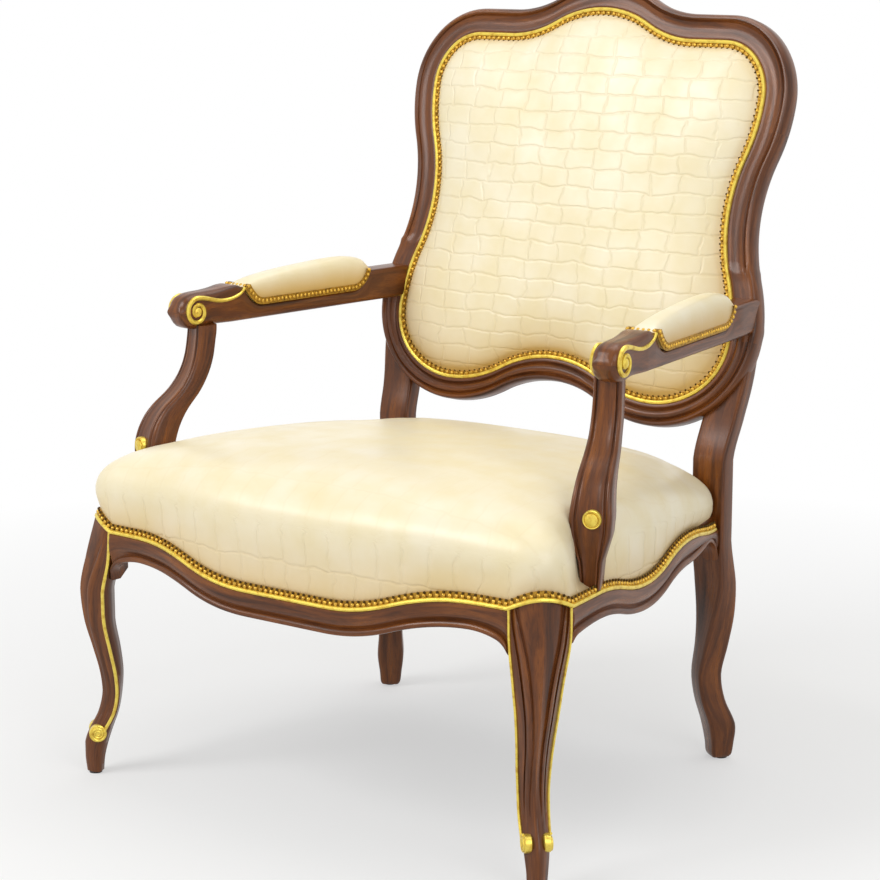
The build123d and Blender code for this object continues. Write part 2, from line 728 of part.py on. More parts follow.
# Right front leg with its knee block, scroll toe and mortises
with BuildPart() as front_leg_right:
    seat_slab(0, LEG_BLOCK_FOOT, NAIL_HIGH)
    seat_slab(-TACK_REBATE, LEG_BLOCK_FOOT, RAIL_TOP)
    with Locations((SEAT_HALF_FRONT, -SEAT_FRONT, RAIL_TOP)):
        Box(2 * LEG_BLOCK, 2 * LEG_BLOCK, RAIL_TOP, mode=Mode.INTERSECT)
    for height, *sizes in ((GLIDE_THICK, *LEG_FOOT), *LEG_SECTIONS, (NAIL_HIGH, *LEG_HEAD)):
        with BuildSketch(diagonal_plane(height)):
            leg_section(*sizes)
    loft()
    toe_plane = diagonal_plane(SCROLL_HEIGHT)
    toe_end = toe_plane.from_local_coords(Vector(SCROLL_OUT, -SCROLL_WIDTH / 2, 0))
    pin(Plane(origin=toe_end, z_dir=toe_plane.y_dir), SCROLL_RADIUS, SCROLL_WIDTH)
    front_tenon(JOINT_GAP, Mode.SUBTRACT)
    side_tenon(JOINT_GAP, Mode.SUBTRACT)
    glide_pin(front_foot.X, front_foot.Y, JOINT_GAP, Mode.SUBTRACT)
    screw(block_screw_planes[0], BLOCK_SCREW_LENGTH, JOINT_GAP, Mode.SUBTRACT)

# Right rear post: leg and back stile in one piece
with BuildPart() as rear_post_right:
    add(back_ring.part)
    split(bisect_by=along_back(LOWER_JOINT), keep=Keep.TOP)
    split(bisect_by=along_back(CREST_JOINT), keep=Keep.BOTTOM)
    split(bisect_by=Plane.YZ, keep=Keep.TOP)
    for height, x, y, width, depth, turn in post_sections():
        with BuildSketch(Plane(origin=(x, y, height), x_dir=(1, 0, 0), z_dir=(0, 0, 1))):
            Rectangle(width, depth, rotation=-turn)
    loft(ruled=True)
    side_rear_tenon(JOINT_GAP, Mode.SUBTRACT)
    rear_tenon(JOINT_GAP, Mode.SUBTRACT)
    glide_pin(*rear_foot, JOINT_GAP, Mode.SUBTRACT)
    screw(block_screw_planes[1], BLOCK_SCREW_LENGTH, JOINT_GAP, Mode.SUBTRACT)
    screw(arm_screw_start, ARM_SCREW_LENGTH, JOINT_GAP, Mode.SUBTRACT)
    for start in crest_dowel_starts:
        pin(start, DOWEL / 2, DOWEL_LENGTH, JOINT_GAP, Mode.SUBTRACT)

# Crest rail, doweled onto the stiles
with BuildPart() as crest_rail:
    add(back_ring.part)
    split(bisect_by=along_back(CREST_JOINT), keep=Keep.TOP)
    for start in crest_dowel_starts:
        pin(start, DOWEL / 2, DOWEL_LENGTH, JOINT_GAP, Mode.SUBTRACT)
        pin(across_chair(start), DOWEL / 2, DOWEL_LENGTH, JOINT_GAP, Mode.SUBTRACT)

# Left front leg and left rear post
with BuildPart() as front_leg_left:
    mirror(front_leg_right.part, about=Plane.YZ)
with BuildPart() as rear_post_left:
    mirror(rear_post_right.part, about=Plane.YZ)

# Lower back rail, housed over the fronts of the posts
with BuildPart() as back_lower_rail:
    add(back_ring.part)
    split(bisect_by=along_back(LOWER_JOINT), keep=Keep.BOTTOM)
    add(rear_post_right.part, mode=Mode.SUBTRACT)
    add(rear_post_left.part, mode=Mode.SUBTRACT)

# Front seat rail: a show lip outside a tacking rail
with BuildPart() as front_lip:
    with BuildSketch(Plane.XZ.offset(-rail_inner_y)):
        front_strip(front_lower_line(), front_nail_line(0, LEG_X))
    extrude(amount=BEYOND)
    seat_slab(0, 0, RAIL_TOP, mode=Mode.INTERSECT)
    seat_slab(-RAIL_LIP, 0, RAIL_TOP, mode=Mode.SUBTRACT)
with BuildPart() as front_rail:
    with BuildSketch(Plane.XZ.offset(-rail_inner_y)):
        front_strip(front_nail_line(LIP_STEP - SHOW_FACE, leg_block_x), level(0, leg_block_x, RAIL_TOP))
    extrude(amount=BEYOND)
    seat_slab(-TACK_REBATE, 0, RAIL_TOP, mode=Mode.INTERSECT)
    add(front_lip.part)
    add(front_leg_right.part, mode=Mode.SUBTRACT)
    add(front_leg_left.part, mode=Mode.SUBTRACT)
    front_tenon(0, Mode.ADD)
    mirror(about=Plane.YZ)

# Side seat rails
with BuildPart() as side_lip:
    with BuildSketch(Plane.YZ.offset(POST_X - POST_WIDTH)):
        side_strip(side_lower_line(), side_nail_line(0, LEG_Y + RAIL_LIP))
    extrude(amount=SEAT_HALF_FRONT)
    seat_slab(0, 0, RAIL_TOP, mode=Mode.INTERSECT)
    seat_slab(-RAIL_LIP, 0, RAIL_TOP, mode=Mode.SUBTRACT)
with BuildPart() as side_rail_right:
    with BuildSketch(Plane.YZ.offset(POST_X - POST_WIDTH)):
        side_strip(
            side_nail_line(LIP_STEP - SHOW_FACE, leg_block_y),
            level(leg_block_y, POST_FRONT, RAIL_TOP),
        )
    extrude(amount=SEAT_HALF_FRONT)
    seat_slab(-TACK_REBATE, 0, RAIL_TOP, mode=Mode.INTERSECT)
    seat_slab(-RAIL_THICK, 0, RAIL_TOP, mode=Mode.SUBTRACT, rear_grow=0)
    add(side_lip.part)
    add(front_leg_right.part, mode=Mode.SUBTRACT)
    add(rear_post_right.part, mode=Mode.SUBTRACT)
    side_tenon(0, Mode.ADD)
    side_rear_tenon(0, Mode.ADD)
    screw(bolt_start, BOLT_LENGTH, JOINT_GAP, Mode.SUBTRACT)

# Rear seat rail between the posts
with BuildPart() as rear_rail:
    with BuildSketch(Plane.XY.offset(REAR_NAIL - SHOW_FACE + LIP_STEP)):
        with Locations((0, (POST_FRONT + SEAT_REAR - TACK_REBATE) / 2)):
            Rectangle(2 * POST_X - POST_WIDTH, SEAT_REAR - TACK_REBATE - POST_FRONT)
    extrude(amount=RAIL_TOP - REAR_NAIL + SHOW_FACE - LIP_STEP)
    with BuildSketch(Plane.XY.offset(REAR_NAIL - SHOW_FACE)):
        with Locations((0, SEAT_REAR - RAIL_LIP / 2)):
            Rectangle(2 * POST_X - POST_WIDTH, RAIL_LIP)
    extrude(amount=SHOW_FACE)
    rear_tenon(0, Mode.ADD)
    mirror(about=Plane.YZ)

# Right arm post, lapped over the side rail and doweled into the arm
with BuildPart() as arm_post_right:
    arm_post_body(0)
    add(side_rail_right.part, mode=Mode.SUBTRACT)
    pin(arm_dowel_start, ARM_DOWEL / 2, ARM_DOWEL_LENGTH, JOINT_GAP, Mode.SUBTRACT)
    screw(bolt_start, BOLT_LENGTH, JOINT_GAP, Mode.SUBTRACT)
with BuildPart() as arm_post_room:
    arm_post_body(SOFT_GAP)

# Right arm with its scroll end and the bed for its pad
with BuildPart() as arm_right:
    with BuildSketch(arm_plane):
        with BuildLine():
            bed = recess_line(0)
            tangent_arcs([(-BEYOND, ARM_REAR_TOP, 0), (PAD_START, ARM_REAR_TOP, 0)])
            tangent_arcs(bed)
            tangent_arcs([
                (*bed[-1][:2], ARM_BREAK),
                (PAD_END + ARM_EASE, ARM_CREST, 0),
                (ARM_NOSE - ARM_NECK_RUN, ARM_NECK, 0),
                (ARM_NOSE - SCROLL_EASE, SCROLL_TOP, 0),
                (ARM_NOSE, (SCROLL_TOP + ARM_UNDER) / 2, -90),
                (ARM_NOSE - SCROLL_EASE, ARM_UNDER, 180),
                (-BEYOND, ARM_UNDER, 180),
            ])
            Line((-BEYOND, ARM_UNDER), (-BEYOND, ARM_REAR_TOP))
        make_face()
    extrude(amount=ARM_WIDTH / 2, both=True)
    split(bisect_by=back_plane, keep=Keep.TOP)
    pin(arm_dowel_start, ARM_DOWEL / 2, ARM_DOWEL_LENGTH, JOINT_GAP, Mode.SUBTRACT)
    screw(arm_screw_start, ARM_SCREW_LENGTH, JOINT_GAP, Mode.SUBTRACT)

# Right arm pad
with BuildPart() as arm_foam_right:
    pad_body(LEATHER + SOFT_GAP)
with BuildPart() as arm_pad_room:
    pad_body(LEATHER)
with BuildPart() as arm_cover_right:
    pad_body(0)
    add(arm_pad_room.part, mode=Mode.SUBTRACT)
with BuildPart() as arm_braid_right:
    with BuildSketch(arm_plane):
        with BuildLine():
            lower, upper = recess_line(SOFT_GAP), recess_line(SOFT_GAP + BRAID_HEIGHT / 2)
            tangent_arcs(lower)
            tangent_arcs(upper)
            Line(lower[0][:2], upper[0][:2])
            Line(lower[-1][:2], upper[-1][:2])
        make_face()
    extrude(amount=PAD_WIDTH / 2 + SOFT_GAP + BRAID_THICK, both=True)
    with BuildSketch(arm_plane):
        with Locations((ARM_NOSE / 2, ARM_SEAT)):
            Rectangle(2 * ARM_NOSE, ARM_SEAT)
    extrude(amount=PAD_WIDTH / 2 + SOFT_GAP, both=True, mode=Mode.SUBTRACT)

# Room of the rear posts and arm posts, which the seat upholstery leaves free
with BuildPart() as posts_room:
    for side in (1, -1):
        middle = side * (post_inner - SOFT_GAP + SEAT_HALF_FRONT)
        with Locations((middle, post_clear + SEAT_REAR, SEAT_CROWN)):
            Box(2 * SEAT_HALF_FRONT, 2 * SEAT_REAR, 2 * SEAT_CROWN)
    add(arm_post_room.part)
    add(arm_post_room.part.mirror(Plane.YZ))

# Seat upholstery
with BuildPart() as seat_frame_room:
    fill_at_nails(SOFT_GAP, 0)
    seat_slab(SOFT_GAP - TACK_REBATE, 0, web_top + SOFT_GAP)
    add(posts_room.part)
with BuildPart() as seat_foam:
    seat_body(LEATHER + 2 * SOFT_GAP)
    seat_slab(BEYOND, 0, web_top + SOFT_GAP, mode=Mode.SUBTRACT)
    add(posts_room.part, mode=Mode.SUBTRACT)
with BuildPart() as seat_room:
    seat_body(LEATHER)
with BuildPart() as seat_cover:
    seat_body(0)
    add(seat_room.part, mode=Mode.SUBTRACT)
    add(seat_frame_room.part, mode=Mode.SUBTRACT)
with BuildPart() as above_braid:
    fill_at_nails(SOFT_GAP + BRAID_HEIGHT, SEAT_CROWN)
with BuildPart() as seat_braid:
    seat_slab(SOFT_GAP + BRAID_THICK - SKIRT_IN, 0, RAIL_TOP)
    seat_slab(SOFT_GAP - SKIRT_IN, 0, RAIL_TOP, mode=Mode.SUBTRACT)
    add(seat_frame_room.part, mode=Mode.SUBTRACT)
    add(above_braid.part, mode=Mode.SUBTRACT)
with BuildPart() as seat_webbing_long:
    with Locations((0, 0, RAIL_TOP + WEB_THICK / 2)):
        with GridLocations(WEB_PITCH, 1, SEAT_WEBS, 1):
            Box(WEB_WIDTH, 4 * SEAT_FRONT, WEB_THICK)
    seat_slab(-TACK_REBATE - WEB_MARGIN, 0, SEAT_CROWN, mode=Mode.INTERSECT)
with BuildPart() as seat_webbing_cross:
    with Locations((0, (SEAT_REAR - SEAT_FRONT) / 2, RAIL_TOP + 1.5 * WEB_THICK)):
        with GridLocations(1, WEB_PITCH, 1, CROSS_WEBS):
            Box(4 * SEAT_HALF_FRONT, WEB_WIDTH, WEB_THICK)
    seat_slab(-TACK_REBATE - WEB_MARGIN, 0, SEAT_CROWN, mode=Mode.INTERSECT)
    add(posts_room.part, mode=Mode.SUBTRACT)
with BuildPart() as dust_cover:
    with BuildSketch(Plane.XY.offset(BLOCK_FOOT - DUST_THICK)):
        with Locations((0, (rail_inner_y + POST_FRONT) / 2)):
            Rectangle(2 * SEAT_HALF_FRONT, POST_FRONT - rail_inner_y - 2 * SOFT_GAP)
    extrude(amount=DUST_THICK)
    seat_slab(-RAIL_THICK - SOFT_GAP, 0, RAIL_TOP, mode=Mode.INTERSECT, rear_grow=0)
    add(front_leg_right.part, mode=Mode.SUBTRACT)
    add(front_leg_left.part, mode=Mode.SUBTRACT)

# Back upholstery
with BuildPart() as back_foam:
    back_body(LEATHER + SOFT_GAP, 2 * WEB_THICK - FRONT_RABBET + SOFT_GAP)
with BuildPart() as back_room:
    back_body(LEATHER, -FRONT_RABBET)
with BuildPart() as back_cover:
    back_slab(-SOFT_GAP, SOFT_GAP - FRONT_RABBET, -NAIL_BED)
    back_body(0, SOFT_GAP - FRONT_RABBET)
    add(back_room.part, mode=Mode.SUBTRACT)
with BuildPart() as back_braid:
    braid_back = SOFT_GAP - NAIL_BED
    back_slab(-SOFT_GAP, braid_back, braid_back + BRAID_THICK, inner=NAIL_MARGIN - NAIL_STRIP)
with BuildPart() as back_webbing_long:
    with BuildSketch(back_plane.offset(-FRONT_RABBET)):
        with Locations((0, PANEL_TOP / 2)):
            with GridLocations(WEB_PITCH, 1, BACK_WEBS, 1):
                Rectangle(WEB_WIDTH, 2 * PANEL_TOP)
    extrude(amount=WEB_THICK)
    back_slab(web_edge, -FRAME_DEPTH, FRAME_DEPTH, mode=Mode.INTERSECT)
with BuildPart() as back_webbing_cross:
    with BuildSketch(back_plane.offset(WEB_THICK - FRONT_RABBET)):
        with Locations((0, (PANEL_TOP + CENTRE_LIFT) / 2)):
            with GridLocations(1, BACK_CROSS_PITCH, 1, BACK_CROSS_WEBS):
                Rectangle(4 * LOBE_HALF, WEB_WIDTH)
    extrude(amount=WEB_THICK)
    back_slab(web_edge, -FRAME_DEPTH, FRAME_DEPTH, mode=Mode.INTERSECT)
with BuildPart() as outside_back:
    back_slab(-SOFT_GAP, -FRAME_DEPTH, REAR_RABBET - FRAME_DEPTH)
    add(rear_post_right.part, mode=Mode.SUBTRACT)
    add(rear_post_left.part, mode=Mode.SUBTRACT)

# Corner blocks inside the seat frame and the screws that hold them
with BuildPart() as corner_blocks:
    for corners in (front_block, rear_block):
        with BuildSketch(Plane.XY.offset(BLOCK_FOOT)):
            with BuildLine():
                Polyline(*corners, close=True)
            make_face()
        extrude(amount=BLOCK_TOP - BLOCK_FOOT)
    seat_slab(-RAIL_THICK, 0, RAIL_TOP, mode=Mode.INTERSECT, rear_grow=0)
    add(front_leg_right.part, mode=Mode.SUBTRACT)
    for start in block_screw_planes:
        screw(start, BLOCK_SCREW_LENGTH, JOINT_GAP, Mode.SUBTRACT)
    mirror(about=Plane.YZ)
with BuildPart() as corner_screws:
    for start in block_screw_planes:
        screw(start, BLOCK_SCREW_LENGTH)
    mirror(about=Plane.YZ)

# Dowels, arm screws, post bolts and foot glides
with BuildPart() as crest_dowels:
    for start in crest_dowel_starts:
        pin(start, DOWEL / 2, DOWEL_LENGTH)
    mirror(about=Plane.YZ)
with BuildPart() as arm_dowels:
    pin(arm_dowel_start, ARM_DOWEL / 2, ARM_DOWEL_LENGTH)
    mirror(about=Plane.YZ)
with BuildPart() as arm_screws:
    screw(arm_screw_start, ARM_SCREW_LENGTH)
    mirror(about=Plane.YZ)
with BuildPart() as arm_post_bolts:
    screw(bolt_start, BOLT_LENGTH)
    mirror(about=Plane.YZ)
with BuildPart() as foot_glides:
    for x, y in ((front_foot.X, front_foot.Y), rear_foot):
        pin(Plane.XY.move(Location((x, y, 0))), GLIDE_RADIUS, GLIDE_THICK)
        glide_pin(x, y, 0, Mode.ADD)
    mirror(about=Plane.YZ)

# Left-hand copies
with BuildPart() as side_rail_left:
    mirror(side_rail_right.part, about=Plane.YZ)
with BuildPart() as arm_post_left:
    mirror(arm_post_right.part, about=Plane.YZ)
with BuildPart() as arm_left:
    mirror(arm_right.part, about=Plane.YZ)
with BuildPart() as arm_foam_left:
    mirror(arm_foam_right.part, about=Plane.YZ)
with BuildPart() as arm_cover_left:
    mirror(arm_cover_right.part, about=Plane.YZ)
with BuildPart() as arm_braid_left:
    mirror(arm_braid_right.part, about=Plane.YZ)

pieces = {
    "front_leg_right": front_leg_right,
    "front_leg_left": front_leg_left,
    "rear_post_right": rear_post_right,
    "rear_post_left": rear_post_left,
    "front_rail": front_rail,
    "side_rail_right": side_rail_right,
    "side_rail_left": side_rail_left,
    "rear_rail": rear_rail,
    "crest_rail": crest_rail,
    "back_lower_rail": back_lower_rail,
    "arm_right": arm_right,
    "arm_left": arm_left,
    "arm_post_right": arm_post_right,
    "arm_post_left": arm_post_left,
    "seat_webbing_long": seat_webbing_long,
    "seat_webbing_cross": seat_webbing_cross,
    "seat_foam": seat_foam,
    "seat_cover": seat_cover,
    "seat_braid": seat_braid,
    "dust_cover": dust_cover,
    "back_webbing_long": back_webbing_long,
    "back_webbing_cross": back_webbing_cross,
    "back_foam": back_foam,
    "back_cover": back_cover,
    "back_braid": back_braid,
    "outside_back": outside_back,
    "arm_foam_right": arm_foam_right,
    "arm_foam_left": arm_foam_left,
    "arm_cover_right": arm_cover_right,
    "arm_cover_left": arm_cover_left,
    "arm_braid_right": arm_braid_right,
    "arm_braid_left": arm_braid_left,
    "corner_blocks": corner_blocks,
    "corner_screws": corner_screws,
    "crest_dowels": crest_dowels,
    "arm_dowels": arm_dowels,
    "arm_screws": arm_screws,
    "arm_post_bolts": arm_post_bolts,
    "foot_glides": foot_glides,
}
os.makedirs("parts", exist_ok=True)
for name, piece in pieces.items():
    piece.part.label = name
    export_step(piece.part, f"parts/{name}.step")
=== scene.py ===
"""Looks of an open-arm leather armchair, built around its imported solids.

Sizes are in millimetres until a mesh is made, in the frame of the solids: the floor is z = 0, the sitter faces -Y,
and X runs across the chair. The right side of the chair is +X.
"""
import json
import logging
import math
from dataclasses import dataclass
from enum import Enum

import bmesh
import bpy
import numpy as np
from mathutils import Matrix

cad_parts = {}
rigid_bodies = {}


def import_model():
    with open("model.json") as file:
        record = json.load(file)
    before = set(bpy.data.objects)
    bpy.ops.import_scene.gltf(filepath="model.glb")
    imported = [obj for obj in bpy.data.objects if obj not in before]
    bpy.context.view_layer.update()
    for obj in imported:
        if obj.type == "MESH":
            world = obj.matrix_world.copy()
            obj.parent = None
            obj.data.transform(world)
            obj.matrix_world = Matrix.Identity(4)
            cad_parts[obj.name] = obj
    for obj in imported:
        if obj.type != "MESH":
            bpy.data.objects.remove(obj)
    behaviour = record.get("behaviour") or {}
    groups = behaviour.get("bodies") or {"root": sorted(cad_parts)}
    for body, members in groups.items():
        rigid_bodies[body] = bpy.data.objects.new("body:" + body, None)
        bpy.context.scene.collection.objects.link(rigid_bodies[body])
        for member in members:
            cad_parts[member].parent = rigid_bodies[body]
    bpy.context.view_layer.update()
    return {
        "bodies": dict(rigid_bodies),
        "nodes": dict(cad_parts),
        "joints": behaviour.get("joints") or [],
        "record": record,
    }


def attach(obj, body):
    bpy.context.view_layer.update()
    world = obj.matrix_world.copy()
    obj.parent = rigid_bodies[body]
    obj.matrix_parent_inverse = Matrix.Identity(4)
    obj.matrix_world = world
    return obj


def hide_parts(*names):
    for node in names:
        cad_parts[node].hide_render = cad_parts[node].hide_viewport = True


LOG = logging.getLogger("armchair")
MM = 0.001
BODY = "root"
GRAIN = "grain"
# Name of the point attribute that holds painted golden-tan shade; on the seat it also tells where the hide turns
# down.
PAINTED_SHADE_AND_PULL = "pull"
EVEN_ROUNDS = 60
Station = tuple[float, float, float]
Colour = tuple[float, float, float, float]


class Side(Enum):
    """Side of the chair, with the sign of its X."""

    RIGHT = 1
    LEFT = -1

    def node(self, stem: str) -> str:
        """Return the name of this side's copy of a node."""
        return f"{stem}_{self.name.lower()}"

    def turn(self, points: np.ndarray) -> np.ndarray:
        """Return points of the right side moved to this side."""
        return points * np.array((self.value, 1.0, 1.0))


class Emboss(Enum):
    """Pattern pressed into a leather cover: tile width, tile height and depth in millimetres."""

    TILES = (44.0, 26.0, 1.2)
    PLEATS = (36.0, 110.0, 0.9)
    SMOOTH = (60.0, 60.0, 0.15)


def arc_points(start: np.ndarray, heading: float, end: np.ndarray, count: int) -> np.ndarray:
    """Sample the arc that leaves a point along a heading and ends at another point.

    Args:
        start: First point of the arc.
        heading: Direction at the first point, in radians.
        end: Last point of the arc, which isn't sampled.
        count: Number of points.

    Returns:
        The points, one to a row.
    """
    chord = end - start
    turn = math.remainder(math.atan2(chord[1], chord[0]) - heading, math.tau)
    share = np.arange(count) / count
    if abs(turn) < 1e-6:
        return start + share[:, None] * chord
    reach = np.hypot(*chord) * np.sin(share * turn) / math.sin(turn)
    angle = heading + share * turn
    return start + np.column_stack((reach * np.cos(angle), reach * np.sin(angle)))


def trace(stations: list[Station], per_arc: int = 8) -> np.ndarray:
    """Follow a smooth line through stations, with two arcs from each station to the next.

    Args:
        stations: Two coordinates and a heading in degrees for each station.
        per_arc: Number of points on each arc, so that lines with as many stations match point for point.

    Returns:
        The points of the line, one to a row.
    """
    pieces = []
    end = np.zeros(2)
    for (x0, y0, leave_at), (x1, y1, arrive_at) in zip(stations, stations[1:]):
        start, end = np.array((x0, y0)), np.array((x1, y1))
        leave = np.array((math.cos(math.radians(leave_at)), math.sin(math.radians(leave_at))))
        arrive = np.array((math.cos(math.radians(arrive_at)), math.sin(math.radians(arrive_at))))
        chord = end - start
        along = chord @ (leave + arrive)
        spread = 2 * (1 - leave @ arrive)
        square = chord @ chord
        if spread < 1e-9:
            reach = square / (2 * along)
        else:
            reach = (math.sqrt(along * along + spread * square) - along) / spread
        first, second = start + leave * reach, end - arrive * reach
        middle = (first + second) / 2
        turn = second - first
        pieces.append(arc_points(start, math.radians(leave_at), middle, per_arc))
        pieces.append(arc_points(middle, math.atan2(turn[1], turn[0]), end, per_arc))
    pieces.append(end[None])
    return np.vstack(pieces)


def at(line: np.ndarray, where: np.ndarray | float, key: int = 0) -> np.ndarray:
    """Read a line's other coordinate at given values of one coordinate.

    Args:
        line: Points of two coordinates, in rising or falling order of the key.
        where: Values of the key coordinate.
        key: Index of the key coordinate.

    Returns:
        The other coordinate at those values.
    """
    order = np.argsort(line[:, key], kind="stable")
    return np.interp(where, line[order, key], line[order, 1 - key])


def through(knots: np.ndarray, count: int) -> np.ndarray:
    """Run a smooth curve through rows of numbers, evenly by their number.

    Args:
        knots: Rows of numbers that the curve passes through.
        count: Number of steps between neighbouring rows.

    Returns:
        The rows of the curve.
    """
    knots = np.asarray(knots, float)
    slopes = np.gradient(knots, axis=0)
    share = (np.arange(count) / count)[:, None]
    rows = []
    for k in range(len(knots) - 1):
        a, b = knots[k], knots[k + 1]
        rise = b - a
        steady = np.where(slopes[k] * rise <= 0, 0, 1)
        arrive = np.where(slopes[k + 1] * rise <= 0, 0, 1)
        first, last = slopes[k] * steady, slopes[k + 1] * arrive
        rows.append(
            a * (2 * share**3 - 3 * share**2 + 1)
            + b * (3 * share**2 - 2 * share**3)
            + first * (share**3 - 2 * share**2 + share)
            + last * (share**3 - share**2)
        )
    rows.append(knots[-1:])
    return np.vstack(rows)


def mirrored_loop(half: np.ndarray) -> np.ndarray:
    """Close a right half line, which starts and ends on X = 0, by its mirror image."""
    return np.vstack((half, half[-2:0:-1] * np.array((-1.0, 1.0))))


class MeshDraft:
    """Points, faces and UV corners of one mesh, collected grid by grid."""

    def __init__(self) -> None:
        """Start with nothing."""
        self.points: list[np.ndarray] = []
        self.faces: list[tuple[int, ...]] = []
        self.corners: list[tuple[float, float]] = []
        self.count = 0

    def grid(self, rows: np.ndarray, closed_rows: bool = False) -> None:
        """Add the faces between neighbouring rows of points, each row a closed ring.

        Args:
            rows: Points, as an array of rows, columns and coordinates in millimetres.
            closed_rows: Join the last row to the first, where both would else be closed by a fan.
        """
        rows = np.asarray(rows, float)
        down, across = rows.shape[:2]
        along, around = (
            np.cumsum(np.append(0.0, np.linalg.norm(np.roll(rows, -1, axis=k) - rows, axis=2).mean(axis=1 - k))) * MM
            for k in (0, 1)
        )
        first = self.count
        self.points.append(rows.reshape(-1, 3))
        self.count += down * across
        for i in range(down if closed_rows else down - 1):
            here, there = first + i * across, first + (i + 1) % down * across
            for j in range(across):
                k = (j + 1) % across
                self.faces.append((here + j, here + k, there + k, there + j))
                self.corners += [(along[i], around[j]), (along[i], around[j + 1])]
                self.corners += [(along[i + 1], around[j + 1]), (along[i + 1], around[j])]
        if not closed_rows:
            for i in (0, down - 1):
                self.fan(rows[i], first + i * across)

    def fan(self, ring: np.ndarray, first: int) -> None:
        """Close a ring of points by a fan about its middle.

        Args:
            ring: Points of the ring.
            first: Index of the ring's first point.
        """
        middle = ring.mean(axis=0)
        spread = np.linalg.norm(ring - middle, axis=1) * MM
        self.points.append(middle[None])
        tip = self.count
        self.count += 1
        for j in range(len(ring)):
            k = (j + 1) % len(ring)
            self.faces.append((first + j, first + k, tip))
            self.corners += [(spread[j], 0.0), (spread[k], 0.004), (0.0, 0.002)]

    def tube(
        self,
        path: np.ndarray,
        radius: np.ndarray | float,
        side: np.ndarray,
        closed: bool = False,
        sides: int = 8,
    ) -> None:
        """Add a round bar along a path.

        Args:
            path: Points of the middle line.
            radius: Radius of the bar, or one for each point.
            side: Direction, or one for each point, from which the bar's sides are counted.
            closed: Join the last point to the first.
            sides: Number of sides.
        """
        path = np.asarray(path, float)
        if closed:
            ahead = np.roll(path, -1, axis=0) - np.roll(path, 1, axis=0)
        else:
            ahead = np.gradient(path, axis=0)
        ahead = ahead / np.linalg.norm(ahead, axis=1)[:, None]
        side = np.broadcast_to(np.asarray(side, float), path.shape)
        first = side - (side * ahead).sum(axis=1)[:, None] * ahead
        first = first / np.linalg.norm(first, axis=1)[:, None]
        second = np.cross(ahead, first)
        turn = np.arange(sides) / sides * math.tau
        reach = np.broadcast_to(np.asarray(radius, float), path.shape[:1])[:, None, None]
        ring = first[:, None] * np.cos(turn)[None, :, None] + second[:, None] * np.sin(turn)[None, :, None]
        self.grid(path[:, None] + reach * ring, closed_rows=closed)

    def build(self, name: str, finish: bpy.types.Material, crease: float = 38.0) -> bpy.types.Object:
        """Turn what was collected into an object at the origin.

        Args:
            name: Name of the object.
            finish: Material of the object.
            crease: Angle in degrees beyond which an edge stays sharp.

        Returns:
            The object, linked to the scene.
        """
        mesh = bpy.data.meshes.new(name)
        mesh.from_pydata((np.vstack(self.points) * MM).tolist(), [], self.faces)
        mesh.uv_layers.new(name=GRAIN).data.foreach_set("uv", np.array(self.corners, "f").ravel())
        work = bmesh.new()
        work.from_mesh(mesh)
        bmesh.ops.remove_doubles(work, verts=work.verts, dist=2e-6)
        bmesh.ops.dissolve_degenerate(work, edges=work.edges, dist=1e-7)
        bmesh.ops.recalc_face_normals(work, faces=work.faces)
        work.to_mesh(mesh)
        work.free()
        mesh.materials.append(finish)
        mesh.shade_smooth()
        mesh.set_sharp_from_angle(angle=math.radians(crease))
        piece = bpy.data.objects.new(name, mesh)
        bpy.context.scene.collection.objects.link(piece)
        return piece


def linear(code: str) -> Colour:
    """Turn an sRGB hex colour into linear values with full alpha."""
    parts = [int(code[k : k + 2], 16) / 255 for k in (1, 3, 5)]
    red, green, blue = (p / 12.92 if p <= 0.04045 else ((p + 0.055) / 1.055) ** 2.4 for p in parts)
    return red, green, blue, 1.0


def feed(tree: bpy.types.NodeTree, node: bpy.types.Node, inputs: dict) -> None:
    """Link sockets to a node's inputs, or set values there.

    Args:
        tree: Tree that holds the node.
        node: The node.
        inputs: Sockets to link, or values to set, by socket name or index.
    """
    for key, value in inputs.items():
        if isinstance(value, bpy.types.NodeSocket):
            tree.links.new(value, node.inputs[key])
        else:
            node.inputs[key].default_value = value


def add_node(
    tree: bpy.types.NodeTree, kind: str, inputs: dict | None = None, **settings: object
) -> bpy.types.Node:
    """Add a node with its settings and links.

    Args:
        tree: Tree that gets the node.
        kind: Type name of the node.
        inputs: Sockets to link, or values to set, by socket name or index.
        settings: Attributes of the node.

    Returns:
        The new node.
    """
    node = tree.nodes.new(kind)
    for key, value in settings.items():
        setattr(node, key, value)
    feed(tree, node, inputs or {})
    return node


def colour_stops(node: bpy.types.Node, stops: list[tuple[float, str]]) -> bpy.types.NodeSocket:
    """Set the stops of a colour ramp.

    Args:
        node: The ramp's node.
        stops: Place and hex colour of each stop, in rising order.

    Returns:
        The ramp's colour socket.
    """
    ramp = node.color_ramp
    while len(ramp.elements) < len(stops):
        ramp.elements.new(1.0)
    for element, (place, code) in zip(ramp.elements, stops):
        element.position = place
        element.color = linear(code)
    return node.outputs["Color"]


def start_material(name: str) -> tuple[bpy.types.Material, bpy.types.NodeTree, bpy.types.Node]:
    """Make a material with nodes and return it with its tree and its shader."""
    material = bpy.data.materials.new(name)
    material.use_nodes = True
    return material, material.node_tree, material.node_tree.nodes["Principled BSDF"]


